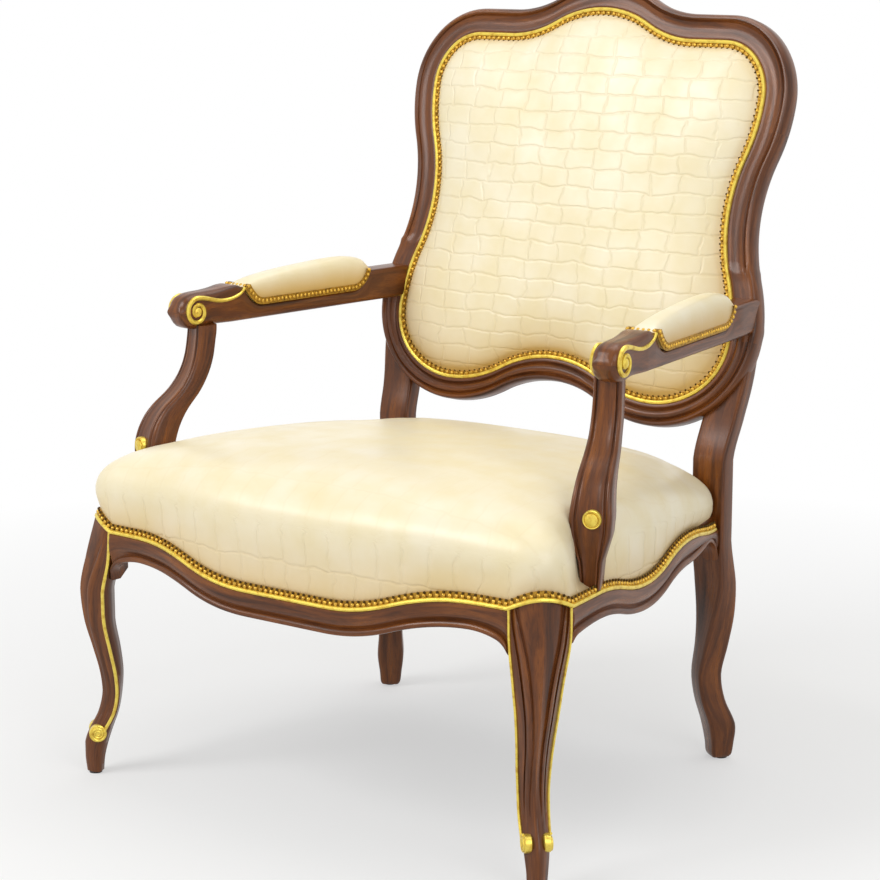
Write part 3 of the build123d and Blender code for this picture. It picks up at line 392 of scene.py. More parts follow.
@dataclass(frozen=True)
class WoodFinish:
    """Polished wood: long streaks of colour, fine open pores along the grain and a soft lacquer gloss."""

    name: str
    dark: str
    middle: str
    light: str
    roughness: float = 0.3
    lacquer: float = 0.14
    streak_length: float = 130.0
    streak_width: float = 11.0
    pore_length: float = 14.0
    pore_width: float = 0.9
    on_surface: bool = True

    def material(self) -> bpy.types.Material:
        """Make the material, with the grain along the piece's own UV map or along Z."""
        material, tree, shader = start_material(self.name)
        if self.on_surface:
            source = add_node(tree, "ShaderNodeUVMap", uv_map=GRAIN).outputs["UV"]
        else:
            source = add_node(tree, "ShaderNodeTexCoord").outputs["Object"]
        streak, pore = (
            (1 / (length * MM), 1 / (width * MM), 1 / (width * MM))
            for length, width in ((self.streak_length, self.streak_width), (self.pore_length, self.pore_width))
        )
        figure_at = add_node(tree, "ShaderNodeMapping", {"Vector": source, "Scale": streak})
        figure = add_node(
            tree,
            "ShaderNodeTexNoise",
            {"Vector": figure_at.outputs[0], "Scale": 1.0, "Detail": 5.0, "Roughness": 0.62, "Distortion": 0.7},
        )
        pores_at = add_node(tree, "ShaderNodeMapping", {"Vector": source, "Scale": pore})
        pores = add_node(tree, "ShaderNodeTexNoise", {"Vector": pores_at.outputs[0], "Scale": 1.0, "Detail": 2.0})
        ramp = add_node(tree, "ShaderNodeValToRGB", {"Fac": figure.outputs["Fac"]})
        tone = colour_stops(ramp, [(0.28, self.dark), (0.5, self.middle), (0.74, self.light)])
        open_pores = add_node(
            tree,
            "ShaderNodeMapRange",
            {"Value": pores.outputs["Fac"], "From Min": 0.52, "From Max": 0.72, "To Min": 0.0, "To Max": 0.55},
        )
        mix = add_node(
            tree,
            "ShaderNodeMixRGB",
            {"Fac": open_pores.outputs["Result"], "Color1": tone, "Color2": linear(self.dark)},
        )
        gloss = add_node(
            tree,
            "ShaderNodeMapRange",
            {
                "Value": figure.outputs["Fac"],
                "From Min": 0.3,
                "From Max": 0.7,
                "To Min": self.roughness + 0.1,
                "To Max": self.roughness - 0.06,
            },
        )
        bump = add_node(
            tree, "ShaderNodeBump", {"Height": pores.outputs["Fac"], "Strength": 0.22, "Distance": 0.25 * MM}
        )
        inputs = {
            "Base Color": mix.outputs["Color"],
            "Roughness": gloss.outputs["Result"],
            "Normal": bump.outputs["Normal"],
            "Specular IOR Level": 0.3,
            "Coat Weight": self.lacquer,
            "Coat Roughness": 0.16,
        }
        feed(tree, shader, inputs)
        return material


@dataclass(frozen=True)
class GiltFinish:
    """Burnished gilding on a carved edge: bright gold with rubbed, darker patches and small tool marks."""

    name: str
    bright: str
    rubbed: str
    roughness: float = 0.3
    patch: float = 9.0
    mark: float = 1.6

    def material(self) -> bpy.types.Material:
        """Make the material."""
        material, tree, shader = start_material(self.name)
        source = add_node(tree, "ShaderNodeTexCoord").outputs["Object"]
        patches = add_node(
            tree, "ShaderNodeTexNoise", {"Vector": source, "Scale": 1 / (self.patch * MM), "Detail": 4.0}
        )
        marks = add_node(
            tree, "ShaderNodeTexNoise", {"Vector": source, "Scale": 1 / (self.mark * MM), "Detail": 2.0}
        )
        ramp = add_node(tree, "ShaderNodeValToRGB", {"Fac": patches.outputs["Fac"]})
        gloss = add_node(
            tree,
            "ShaderNodeMapRange",
            {"Value": patches.outputs["Fac"], "To Min": self.roughness + 0.18, "To Max": self.roughness - 0.1},
        )
        bump = add_node(
            tree, "ShaderNodeBump", {"Height": marks.outputs["Fac"], "Strength": 0.35, "Distance": 0.2 * MM}
        )
        inputs = {
            "Base Color": colour_stops(ramp, [(0.3, self.rubbed), (0.52, self.bright)]),
            "Roughness": gloss.outputs["Result"],
            "Normal": bump.outputs["Normal"],
            "Metallic": 0.7,
        }
        feed(tree, shader, inputs)
        return material


@dataclass(frozen=True)
class LeatherFinish:
    """Finished cow hide: a cream pigment coat with a pebbled grain, and a painted golden-tan shade in its pressed
    lines and towards its edges.
    """

    name: str
    emboss: Emboss
    cream: str = "#EFE2BA"
    # Golden tan painted onto the cream as shade, in the pressed lines and towards the cover's edges.
    painted_shade_tan: str = "#CDA24A"
    pale: str = "#F6EDD2"
    roughness: float = 0.4
    pebble: float = 1.7
    blotch: float = 55.0

    def material(self) -> bpy.types.Material:
        """Make the material, with the pressed pattern on the piece's own UV map."""
        wide, high, depth = self.emboss.value
        material, tree, shader = start_material(self.name)
        source = add_node(tree, "ShaderNodeTexCoord").outputs["Object"]
        sheet = add_node(tree, "ShaderNodeUVMap", uv_map=GRAIN).outputs["UV"]
        # The pressed lines wander by a few millimetres, as hand-laid tiles do.
        wander = add_node(tree, "ShaderNodeTexNoise", {"Vector": sheet, "Scale": 1 / (34 * MM), "Detail": 2.0})
        centred = add_node(
            tree, "ShaderNodeVectorMath", {0: wander.outputs["Color"], 1: (0.5, 0.5, 0.5)}, operation="SUBTRACT"
        )
        shifted = add_node(
            tree,
            "ShaderNodeVectorMath",
            {0: centred.outputs[0], 1: (0.02, 0.014, 0.0), 2: sheet},
            operation="MULTIPLY_ADD",
        )
        tiles = add_node(
            tree,
            "ShaderNodeTexBrick",
            {
                "Vector": shifted.outputs[0],
                "Color1": (1.0, 1.0, 1.0, 1.0),
                "Color2": (0.94, 0.94, 0.94, 1.0),
                "Mortar": (0.0, 0.0, 0.0, 1.0),
                "Scale": 1.0,
                "Mortar Size": 3.0 * MM,
                "Mortar Smooth": 1.0,
                "Brick Width": wide * MM,
                "Row Height": high * MM,
            },
            offset=0.14,
        )
        pebbles = add_node(
            tree, "ShaderNodeTexVoronoi", {"Vector": source, "Scale": 1 / (self.pebble * MM)}, feature="F1"
        )
        blotches = add_node(
            tree, "ShaderNodeTexNoise", {"Vector": source, "Scale": 1 / (self.blotch * MM), "Detail": 4.0}
        )
        ramp = add_node(tree, "ShaderNodeValToRGB", {"Fac": blotches.outputs["Fac"]})
        hide = colour_stops(ramp, [(0.3, self.cream), (0.7, self.pale)])
        # Golden tan painted into the pressed lines as shade, deeper for a deeper pattern.
        crease_shade = add_node(
            tree,
            "ShaderNodeMapRange",
            {"Value": tiles.outputs["Color"], "From Max": 0.8, "To Min": 0.06 * depth, "To Max": 0.0},
        )
        painted_shade_tan = linear(self.painted_shade_tan)
        crease_shaded = add_node(
            tree, "ShaderNodeMixRGB", {"Fac": crease_shade.outputs["Result"], "Color1": hide, "Color2": painted_shade_tan}
        )
        # The point attribute paints golden-tan shade over the cream, strongest near the nailed edges and low on the
        # cover.
        pull = add_node(tree, "ShaderNodeAttribute", attribute_name=PAINTED_SHADE_AND_PULL).outputs["Fac"]
        shade_toned = add_node(
            tree, "ShaderNodeMixRGB", {"Fac": pull, "Color1": crease_shaded.outputs["Color"], "Color2": painted_shade_tan}
        )
        gloss = add_node(
            tree,
            "ShaderNodeMapRange",
            {
                "Value": blotches.outputs["Fac"],
                "From Min": 0.3,
                "From Max": 0.7,
                "To Min": self.roughness + 0.08,
                "To Max": self.roughness - 0.06,
            },
        )
        pressed = add_node(
            tree, "ShaderNodeBump", {"Height": tiles.outputs["Color"], "Strength": 0.6, "Distance": depth * MM}
        )
        grain = add_node(
            tree,
            "ShaderNodeBump",
            {
                "Height": pebbles.outputs["Distance"],
                "Strength": 0.1,
                "Distance": 0.3 * MM,
                "Normal": pressed.outputs["Normal"],
            },
        )
        if self.emboss is Emboss.PLEATS:
            # The folds only show where the hide turns down to the nails, not on the flat of the seat.
            folds = add_node(
                tree,
                "ShaderNodeMapRange",
                {"Value": pull, "From Min": 0.035, "From Max": 0.11, "To Min": 0.06, "To Max": 0.7},
            )
            feed(tree, pressed, {"Strength": folds.outputs["Result"]})
        inputs = {
            "Base Color": shade_toned.outputs["Color"],
            "Roughness": gloss.outputs["Result"],
            "Normal": grain.outputs["Normal"],
            "Coat Weight": 0.12,
            "Coat Roughness": 0.3,
        }
        feed(tree, shader, inputs)
        return material


@dataclass(frozen=True)
class CoarseFinish:
    """Plain hidden stuff such as cloth, webbing or bare steel: two tones in a fine grain."""

    name: str
    first: str
    second: str
    grain: float
    roughness: float = 0.85
    metallic: float = 0.0

    def material(self) -> bpy.types.Material:
        """Make the material on Object coordinates."""
        material, tree, shader = start_material(self.name)
        source = add_node(tree, "ShaderNodeTexCoord").outputs["Object"]
        flecks = add_node(
            tree,
            "ShaderNodeTexNoise",
            {"Vector": source, "Scale": 1 / (self.grain * MM), "Detail": 3.0, "Roughness": 0.6},
        )
        ramp = add_node(tree, "ShaderNodeValToRGB", {"Fac": flecks.outputs["Fac"]})
        bump = add_node(
            tree, "ShaderNodeBump", {"Height": flecks.outputs["Fac"], "Strength": 0.4, "Distance": 0.4 * MM}
        )
        inputs = {
            "Base Color": colour_stops(ramp, [(0.35, self.first), (0.65, self.second)]),
            "Normal": bump.outputs["Normal"],
            "Roughness": self.roughness,
            "Metallic": self.metallic,
        }
        feed(tree, shader, inputs)
        return material


class Finishes:
    """All materials of the chair, made once."""

    def __init__(self) -> None:
        """Make the materials."""
        self.walnut = WoodFinish("polished_walnut", "#371B08", "#683814", "#905420").material()
        self.beech = WoodFinish(
            "planed_beech", "#A98258", "#C49E70", "#D6B688", roughness=0.55, lacquer=0.0, on_surface=False
        ).material()
        self.gilt = GiltFinish("burnished_gilding", "#ECD25C", "#CBA53E").material()
        self.brass = GiltFinish("aged_brass_nails", "#D6AA42", "#94702A", patch=5.0).material()
        self.braid = GiltFinish("gold_thread_braid", "#B48A30", "#77581E", roughness=0.5, patch=4.0).material()
        # Dark dots along the braid paint the shade in its slots.
        self.slot_shade = GiltFinish("painted_braid_slot_shade", "#5A4218", "#33250C", roughness=0.6, patch=4.0).material()
        self.tiled = LeatherFinish("embossed_cream_leather", Emboss.TILES).material()
        self.pleated = LeatherFinish("pleated_cream_leather", Emboss.PLEATS, roughness=0.36).material()
        self.smooth = LeatherFinish("smooth_cream_leather", Emboss.SMOOTH, roughness=0.36).material()
        self.cloth = CoarseFinish("black_dust_cloth", "#1C1B1A", "#2E2C2A", 0.9).material()
        self.jute = CoarseFinish("woven_jute_webbing", "#8C734A", "#B79C6E", 1.6).material()
        self.steel = CoarseFinish(
            "zinc_plated_steel", "#9A9C9E", "#B4B6B8", 1.2, roughness=0.35, metallic=1.0
        ).material()
        self.glide = CoarseFinish("moulded_nylon_glide", "#2B2724", "#3A3531", 1.4, roughness=0.5).material()


def hand_in(piece: bpy.types.Object, slot: str, *nodes: str) -> None:
    """Tie a finished piece to the frame.

    Args:
        piece: The piece, in its place.
        slot: Material slot of the record; not used.
        nodes: CAD nodes that it stands for.
    """
    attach(piece, BODY)
    if nodes:
        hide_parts(*nodes)
    LOG.info("made %s with %d faces", piece.name, len(piece.data.polygons))


class NailRow:
    """Rows of round nail heads set along a line by a node tree."""

    def __init__(self) -> None:
        """Build the tree: a line of edges becomes a curve with a head at each step."""
        tree = bpy.data.node_groups.new("nail_row", "GeometryNodeTree")
        sockets = (
            ("Line", "INPUT", "NodeSocketGeometry"),
            ("Step", "INPUT", "NodeSocketFloat"),
            ("Radius", "INPUT", "NodeSocketFloat"),
            ("Finish", "INPUT", "NodeSocketMaterial"),
            ("Heads", "OUTPUT", "NodeSocketGeometry"),
        )
        self.keys = {}
        for name, way, kind in sockets:
            self.keys[name] = tree.interface.new_socket(name, in_out=way, socket_type=kind).identifier
        given = add_node(tree, "NodeGroupInput")
        curve = add_node(tree, "GeometryNodeMeshToCurve", {"Mesh": given.outputs["Line"]})
        steps = add_node(
            tree,
            "GeometryNodeResampleCurve",
            {"Curve": curve.outputs[0], "Length": given.outputs["Step"]},
            mode="LENGTH",
        )
        head = add_node(
            tree,
            "GeometryNodeMeshUVSphere",
            {"Segments": 8, "Rings": 6, "Radius": given.outputs["Radius"]},
        )
        rounded = add_node(tree, "GeometryNodeSetShadeSmooth", {"Geometry": head.outputs["Mesh"]})
        heads = add_node(
            tree, "GeometryNodeInstanceOnPoints", {"Points": steps.outputs[0], "Instance": rounded.outputs[0]}
        )
        real = add_node(tree, "GeometryNodeRealizeInstances", {"Geometry": heads.outputs[0]})
        dressed = add_node(
            tree, "GeometryNodeSetMaterial", {"Geometry": real.outputs[0], "Material": given.outputs["Finish"]}
        )
        add_node(tree, "NodeGroupOutput", {"Heads": dressed.outputs[0]})
        self.tree = tree

    def lay(
        self, name: str, lines: list[tuple[np.ndarray, bool]], step: float, radius: float, finish: bpy.types.Material
    ) -> bpy.types.Object:
        """Set heads along lines and turn them into a plain mesh.

        Args:
            name: Name of the piece.
            lines: Points of each line, and whether it is closed.
            step: Distance from head to head.
            radius: Radius of a head.
            finish: Material of the heads.

        Returns:
            The finished object.
        """
        points: list[np.ndarray] = []
        edges: list[tuple[int, int]] = []
        count = 0
        for line, closed in lines:
            size = len(line)
            edges += [(count + k, count + (k + 1) % size) for k in range(size if closed else size - 1)]
            points.append(line)
            count += size
        mesh = bpy.data.meshes.new(f"{name}_line")
        mesh.from_pydata((np.vstack(points) * MM).tolist(), edges, [])
        guide = bpy.data.objects.new(f"{name}_line", mesh)
        bpy.context.scene.collection.objects.link(guide)
        modifier = guide.modifiers.new("heads", "NODES")
        modifier.node_group = self.tree
        modifier[self.keys["Step"]] = step * MM
        modifier[self.keys["Radius"]] = radius * MM
        modifier[self.keys["Finish"]] = finish
        graph = bpy.context.evaluated_depsgraph_get()
        heads = bpy.data.meshes.new_from_object(guide.evaluated_get(graph))
        bpy.data.objects.remove(guide)
        bpy.data.meshes.remove(mesh)
        piece = bpy.data.objects.new(name, heads)
        bpy.context.scene.collection.objects.link(piece)
        return piece


@dataclass
class SeatPlan:
    """Plan of the seat frame and the line along which its leather is nailed."""

    half_front: float = 368.0
    half_rear: float = 274.0
    front: float = 342.0
    rear: float = 217.0
    swell: float = 26.0
    swell_half: float = 90.0
    corner: float = 55.0
    bow: float = 4.5
    nail_high: float = 333.0
    front_low: float = 300.0
    side_low: float = 311.0
    side_rear: float = 320.0
    rear_nail: float = 318.0
    show_face: float = 32.0
    bracket_foot: float = 268.0
    rear_bracket: float = 277.0
    post_front: float = 192.0
    post_inner: float = 237.0
    leg_arch: float = 13.0

    def half(self, grow: float, rear_round: float = 0.0, per_arc: int = 10) -> np.ndarray:
        """Trace the right half of the seat, from the middle of the front to the rear.

        Args:
            grow: Distance by which the outline is moved outwards.
            rear_round: Radius of the rear corner, or 0 to stop there.
            per_arc: Number of points on each arc.

        Returns:
            The points of the half outline.
        """
        side_start = -(self.front - self.corner + grow)
        rear = self.rear + (grow if rear_round else 0.0)
        lean = math.degrees(math.atan2(rear - side_start, self.half_rear - self.half_front))
        slope = (self.half_rear - self.half_front) / (rear - side_start)
        nose = -(self.front + grow + self.swell)
        stations = [
            (0.0, nose, 0.0),
            (self.swell_half, nose, 0.0),
            (self.half_front - self.corner + grow, -(self.front + grow), 0.0),
            (self.half_front + grow, side_start, lean - self.bow),
            (self.half_rear + grow - slope * rear_round, rear - rear_round, lean + self.bow),
        ]
        if rear_round:
            stations.append((self.half_rear + grow - rear_round, rear, 180.0))
            stations.append((0.0, rear, 180.0))
        return trace(stations, per_arc)

    def front_nail(self) -> np.ndarray:
        """Trace the front nail line as x and z."""
        return trace(
            [
                (0.0, self.front_low, 0.0),
                (60.0, self.front_low, 0.0),
                (258.0, self.nail_high, 0.0),
                (self.half_front, self.nail_high, 0.0),
            ]
        )

    def side_nail(self) -> np.ndarray:
        """Trace the side nail line as y and z."""
        return trace(
            [
                (-self.front, self.nail_high, 0.0),
                (-220.0, self.nail_high, 0.0),
                (-72.0, self.side_low, 0.0),
                (66.0, self.nail_high, 0.0),
                (self.post_front, self.side_rear, 0.0),
                (self.rear + 20, self.rear_nail, 0.0),
            ]
        )

    def nail_height(self, points: np.ndarray) -> np.ndarray:
        """Read the height of the nail line at points near the outline.

        Args:
            points: Points of x and y.

        Returns:
            The height at each point, with a small arch over each front leg.
        """
        across, deep = np.abs(points[:, 0]), points[:, 1]
        front = at(self.front_nail(), across)
        side = at(self.side_nail(), deep)
        past_x, past_y = across - self.half_front + self.corner, -deep - self.front + self.corner
        corner = np.arctan2(past_y, past_x) / (math.pi / 2)
        on_corner = (past_x > 0) & (past_y > 0)
        arch = np.where(on_corner, np.sin(np.clip(corner, 0, 1) * math.pi) * self.leg_arch, 0.0)
        height = np.where(past_x < self.corner * 0.5, np.where(past_y > 0, front, side), side)
        rear = (deep > self.rear - 30) & (across < self.post_inner + 8)
        return np.where(rear, self.rear_nail, height) + arch


@dataclass
class BackPlan:
    """Raked plane of the back and the inner outline of its frame."""

    foot_y: float = 201.0
    foot_z: float = 472.0
    rake: float = 14.4
    top: float = 537.0
    shoulder_top: float = 497.0
    notch: float = 148.0
    flat: float = 200.0
    shoulder: float = 272.0
    waist: float = 245.0
    lobe: float = 275.0
    lobe_foot: float = 165.0
    lift: float = 44.0
    crest_joint: float = 372.0
    lower_joint: float = 100.0

    def half(self, grow: float, per_arc: int = 14) -> np.ndarray:
        """Trace the right half of the back from the middle of the top to the middle of the foot.

        Args:
            grow: Distance by which the outline is moved outwards.
            per_arc: Number of points on each arc.

        Returns:
            Points of x and height up the rake.
        """
        return trace(
            [
                (0.0, self.top + grow, 0.0),
                (self.notch, self.shoulder_top + grow, 0.0),
                (self.flat, self.shoulder_top + grow, 0.0),
                (self.shoulder + grow, 420.0, -90.0),
                (self.waist + grow, 262.0, -90.0),
                (self.lobe + grow, 98.0, -90.0),
                (self.lobe_foot, -grow, 180.0),
                (0.0, self.lift - grow, 180.0),
            ],
            per_arc,
        )

    def world(self, points: np.ndarray, depth: np.ndarray | float) -> np.ndarray:
        """Place points of the raked plane in the chair.

        Args:
            points: Points of x and height up the rake.
            depth: Distance of the points in front of the plane.

        Returns:
            Points of x, y and z.
        """
        lean = math.radians(self.rake)
        up, out = points[..., 1], np.broadcast_to(depth, points.shape[:-1])
        return np.stack(
            (
                points[..., 0],
                self.foot_y + up * math.sin(lean) - out * math.cos(lean),
                self.foot_z + up * math.cos(lean) + out * math.sin(lean),
            ),
            axis=-1,
        )

    def facing(self) -> np.ndarray:
        """Return the direction in which the back faces."""
        lean = math.radians(self.rake)
        return np.array((0.0, -math.cos(lean), math.sin(lean)))


@dataclass
class BackFrame:
    """Moulded frame of the back: crest rail, stiles and lower rail swept with one profile."""

    plan: BackPlan
    collar_top: float = 190.0
    collar_low: float = 113.0
    collar_rise: float = 1.8
    collar_half: float = 4.0
    lower_spread: float = 0.24
    upper: tuple[tuple[float, float], ...] = (
        (-4.0, -3.0), (-2.5, -1.2), (0.5, -0.4), (4.0, -0.8), (8.0, -1.6), (12.0, -2.0), (16.0, -1.6),
        (19.5, -0.6), (21.5, 0.2), (23.0, -1.8), (24.0, -2.6), (25.2, -1.2), (27.0, 0.8), (29.0, 0.8),
        (30.8, -0.8), (32.6, -4.0), (34.0, -9.0), (34.0, -22.0), (32.5, -26.0), (28.0, -28.0), (-4.0, -28.0),
    )
    joint: tuple[tuple[float, float], ...] = (
        (-4.0, -3.0), (-2.5, -1.4), (0.5, -0.4), (4.0, 0.0), (8.0, 0.0), (12.0, 0.0), (16.0, 0.0),
        (19.5, 0.0), (21.5, 0.0), (23.0, 0.0), (24.0, 0.0), (25.2, 0.0), (27.0, -0.2), (29.0, -0.6),
        (30.8, -1.4), (32.6, -3.4), (34.0, -8.0), (34.0, -22.0), (32.5, -26.0), (28.0, -28.0), (-4.0, -28.0),
    )
    lower: tuple[tuple[float, float], ...] = (
        (-4.0, -3.0), (-3.0, -0.8), (-0.5, 0.6), (2.5, 0.4), (4.2, -1.8), (5.2, -2.6), (6.4, -1.4),
        (9.0, 1.6), (12.5, 2.6), (15.8, 1.4), (17.6, -1.8), (18.6, -2.8), (19.8, -1.6), (22.0, 0.4),
        (24.5, 0.4), (26.4, -1.8), (27.4, -7.0), (27.4, -22.0), (26.0, -26.0), (22.0, -28.0), (-4.0, -28.0),
    )

    def step(self, height: float) -> int:
        """Return the number of the step along the stile that lies nearest to a height up the rake."""
        heights = self.plan.half(0.0)[:, 1]
        size = (len(heights) - 1) // 7
        return 3 * size + int(np.argmin(np.abs(heights[3 * size : 5 * size + 1] - height)))

    def rows(self, first: int, last: int) -> np.ndarray:
        """Sweep the profile along the right half of the frame.

        The profile is flat where the arm joins the stile, and moulded above and below that, with a small collar
        at each change.

        Args:
            first: Number of the first step along the frame.
            last: Number of the last step.

        Returns:
            Rows of points, one for each step.
        """
        heights = self.plan.half(0.0)[:, 1]
        above = np.clip((heights - self.collar_top) / 6 + 0.5, 0, 1)
        below = np.clip((self.collar_low - heights) / 6 + 0.5, 0, 1)
        collar = sum(
            np.exp(-(((heights - level) / self.collar_half) ** 2)) for level in (self.collar_top, self.collar_low)
        )
        columns = []
        for high, flat, low in zip(self.upper, self.joint, self.lower):
            weights = np.column_stack((above, 1 - above - below, below))
            out, depth = (weights @ np.array((high, flat, low))).T
            spread = 1 + self.lower_spread * below * np.clip((heights - 40) / 70, 0, 1)
            out = np.where(out > 0, out * spread, out)
            front = depth > -12
            lines = np.stack([self.plan.half(reach) for reach in (0.0, 40.0)])
            share = (out + collar * (out > 30) * 0.8)[:, None] / 40
            line = lines[0] * (1 - share) + lines[1] * share
            columns.append(self.plan.world(line, depth + front * collar * self.collar_rise))
        return np.stack(columns, axis=1)[first : last + 1]

    def build(self, finishes: Finishes) -> None:
        """Make the crest rail and the lower rail.

        Args:
            finishes: Materials of the chair.
        """
        size = len(self.plan.half(0.0))
        crest = self.rows(0, self.step(self.plan.crest_joint))
        lower = self.rows(self.step(self.plan.lower_joint), size - 1)[::-1]
        for name, half in (("crest_rail", crest), ("back_lower_rail", lower)):
            draft = MeshDraft()
            draft.grid(np.vstack((Side.LEFT.turn(half[:0:-1]), half)))
            piece = draft.build(f"{name}_look", finishes.walnut)
            hand_in(piece, "show_wood", name)


def rounded_section(wide: float, deep: float, radius: float, turn: float = 0.0, per_corner: int = 4) -> np.ndarray:
    """Trace a rectangle with rounded corners about its middle.

    Args:
        wide: Size along the first axis.
        deep: Size along the second axis.
        radius: Radius of the corners.
        turn: Angle in degrees by which the rectangle is turned.
        per_corner: Number of steps on each corner.

    Returns:
        The points of the section.
    """
    points = []
    for corner in range(4):
        sign_x, sign_y = ((1, 1), (-1, 1), (-1, -1), (1, -1))[corner]
        for step in range(per_corner + 1):
            angle = math.radians(90 * corner + 90 * step / per_corner)
            points.append(
                (
                    sign_x * (wide / 2 - radius) + radius * math.cos(angle),
                    sign_y * (deep / 2 - radius) + radius * math.sin(angle),
                )
            )
    lean = math.radians(turn)
    spin = np.array(((math.cos(lean), math.sin(lean)), (-math.sin(lean), math.cos(lean))))
    return np.array(points) @ spin


@dataclass
class RearPosts:
    """Rear legs, each in one piece with its back stile."""

    plan: BackPlan
    frame: BackFrame
    setback: float = 10.0
    sections: tuple[tuple[float, ...], ...] = (
        (3.0, 279.5, 208.0, 24.0, 24.0, 36.0),
        (8.0, 279.5, 208.5, 29.0, 29.0, 36.0),
        (22.0, 279.5, 209.0, 32.0, 32.0, 36.0),
        (50.0, 278.0, 207.0, 38.0, 38.0, 36.0),
        (85.0, 270.0, 196.8, 34.0, 34.0, 36.0),
        (120.0, 266.8, 192.6, 33.0, 33.0, 36.0),
        (160.0, 270.5, 198.5, 36.0, 36.0, 32.0),
        (200.0, 272.5, 203.0, 42.0, 38.0, 22.0),
        (245.0, 270.0, 205.5, 49.0, 34.0, 8.0),
        (300.0, 262.5, 206.0, 49.0, 28.0, 0.0),
        (352.0, 262.5, 206.0, 49.0, 28.0, 0.0),
        (410.0, 262.5, 206.0, 49.0, 28.0, 0.0),
    )
    stile: tuple[tuple[float, ...], ...] = (
        (460.0, 266.5, 50.0, 28.0),
        (520.0, 277.0, 44.0, 26.0),
        (600.0, 287.0, 30.0, 17.0),
    )

    def knots(self) -> np.ndarray:
        """List the sections from the foot to the top of the stile."""
        lean = math.radians(self.plan.rake)
        rows = [list(row) for row in self.sections]
        for height, across, wide, deep in self.stile:
            face = self.plan.foot_y + (height - self.plan.foot_z) * math.tan(lean)
            rows.append([height, across, face + self.setback / math.cos(lean) + deep / 2, wide, deep, 0.0])
        return np.array(rows)

    def build(self, finishes: Finishes) -> None:
        """Make both posts.

        Args:
            finishes: Materials of the chair.
        """
        rows = []
        for height, across, deep, wide, thick, turn in through(self.knots(), 5):
            section = rounded_section(wide, thick, min(wide, thick) * 0.16, -turn)
            rows.append(np.column_stack((section + (across, deep), np.full(len(section), height))))
        post = np.stack(rows)
        stile = self.frame.rows(self.frame.step(self.plan.crest_joint), self.frame.step(self.plan.lower_joint))
        for side in Side:
            draft = MeshDraft()
            draft.grid(side.turn(post))
            draft.grid(side.turn(stile))
            piece = draft.build(f"{side.node('rear_post')}_look", finishes.walnut)
            hand_in(piece, "show_wood", side.node("rear_post"))


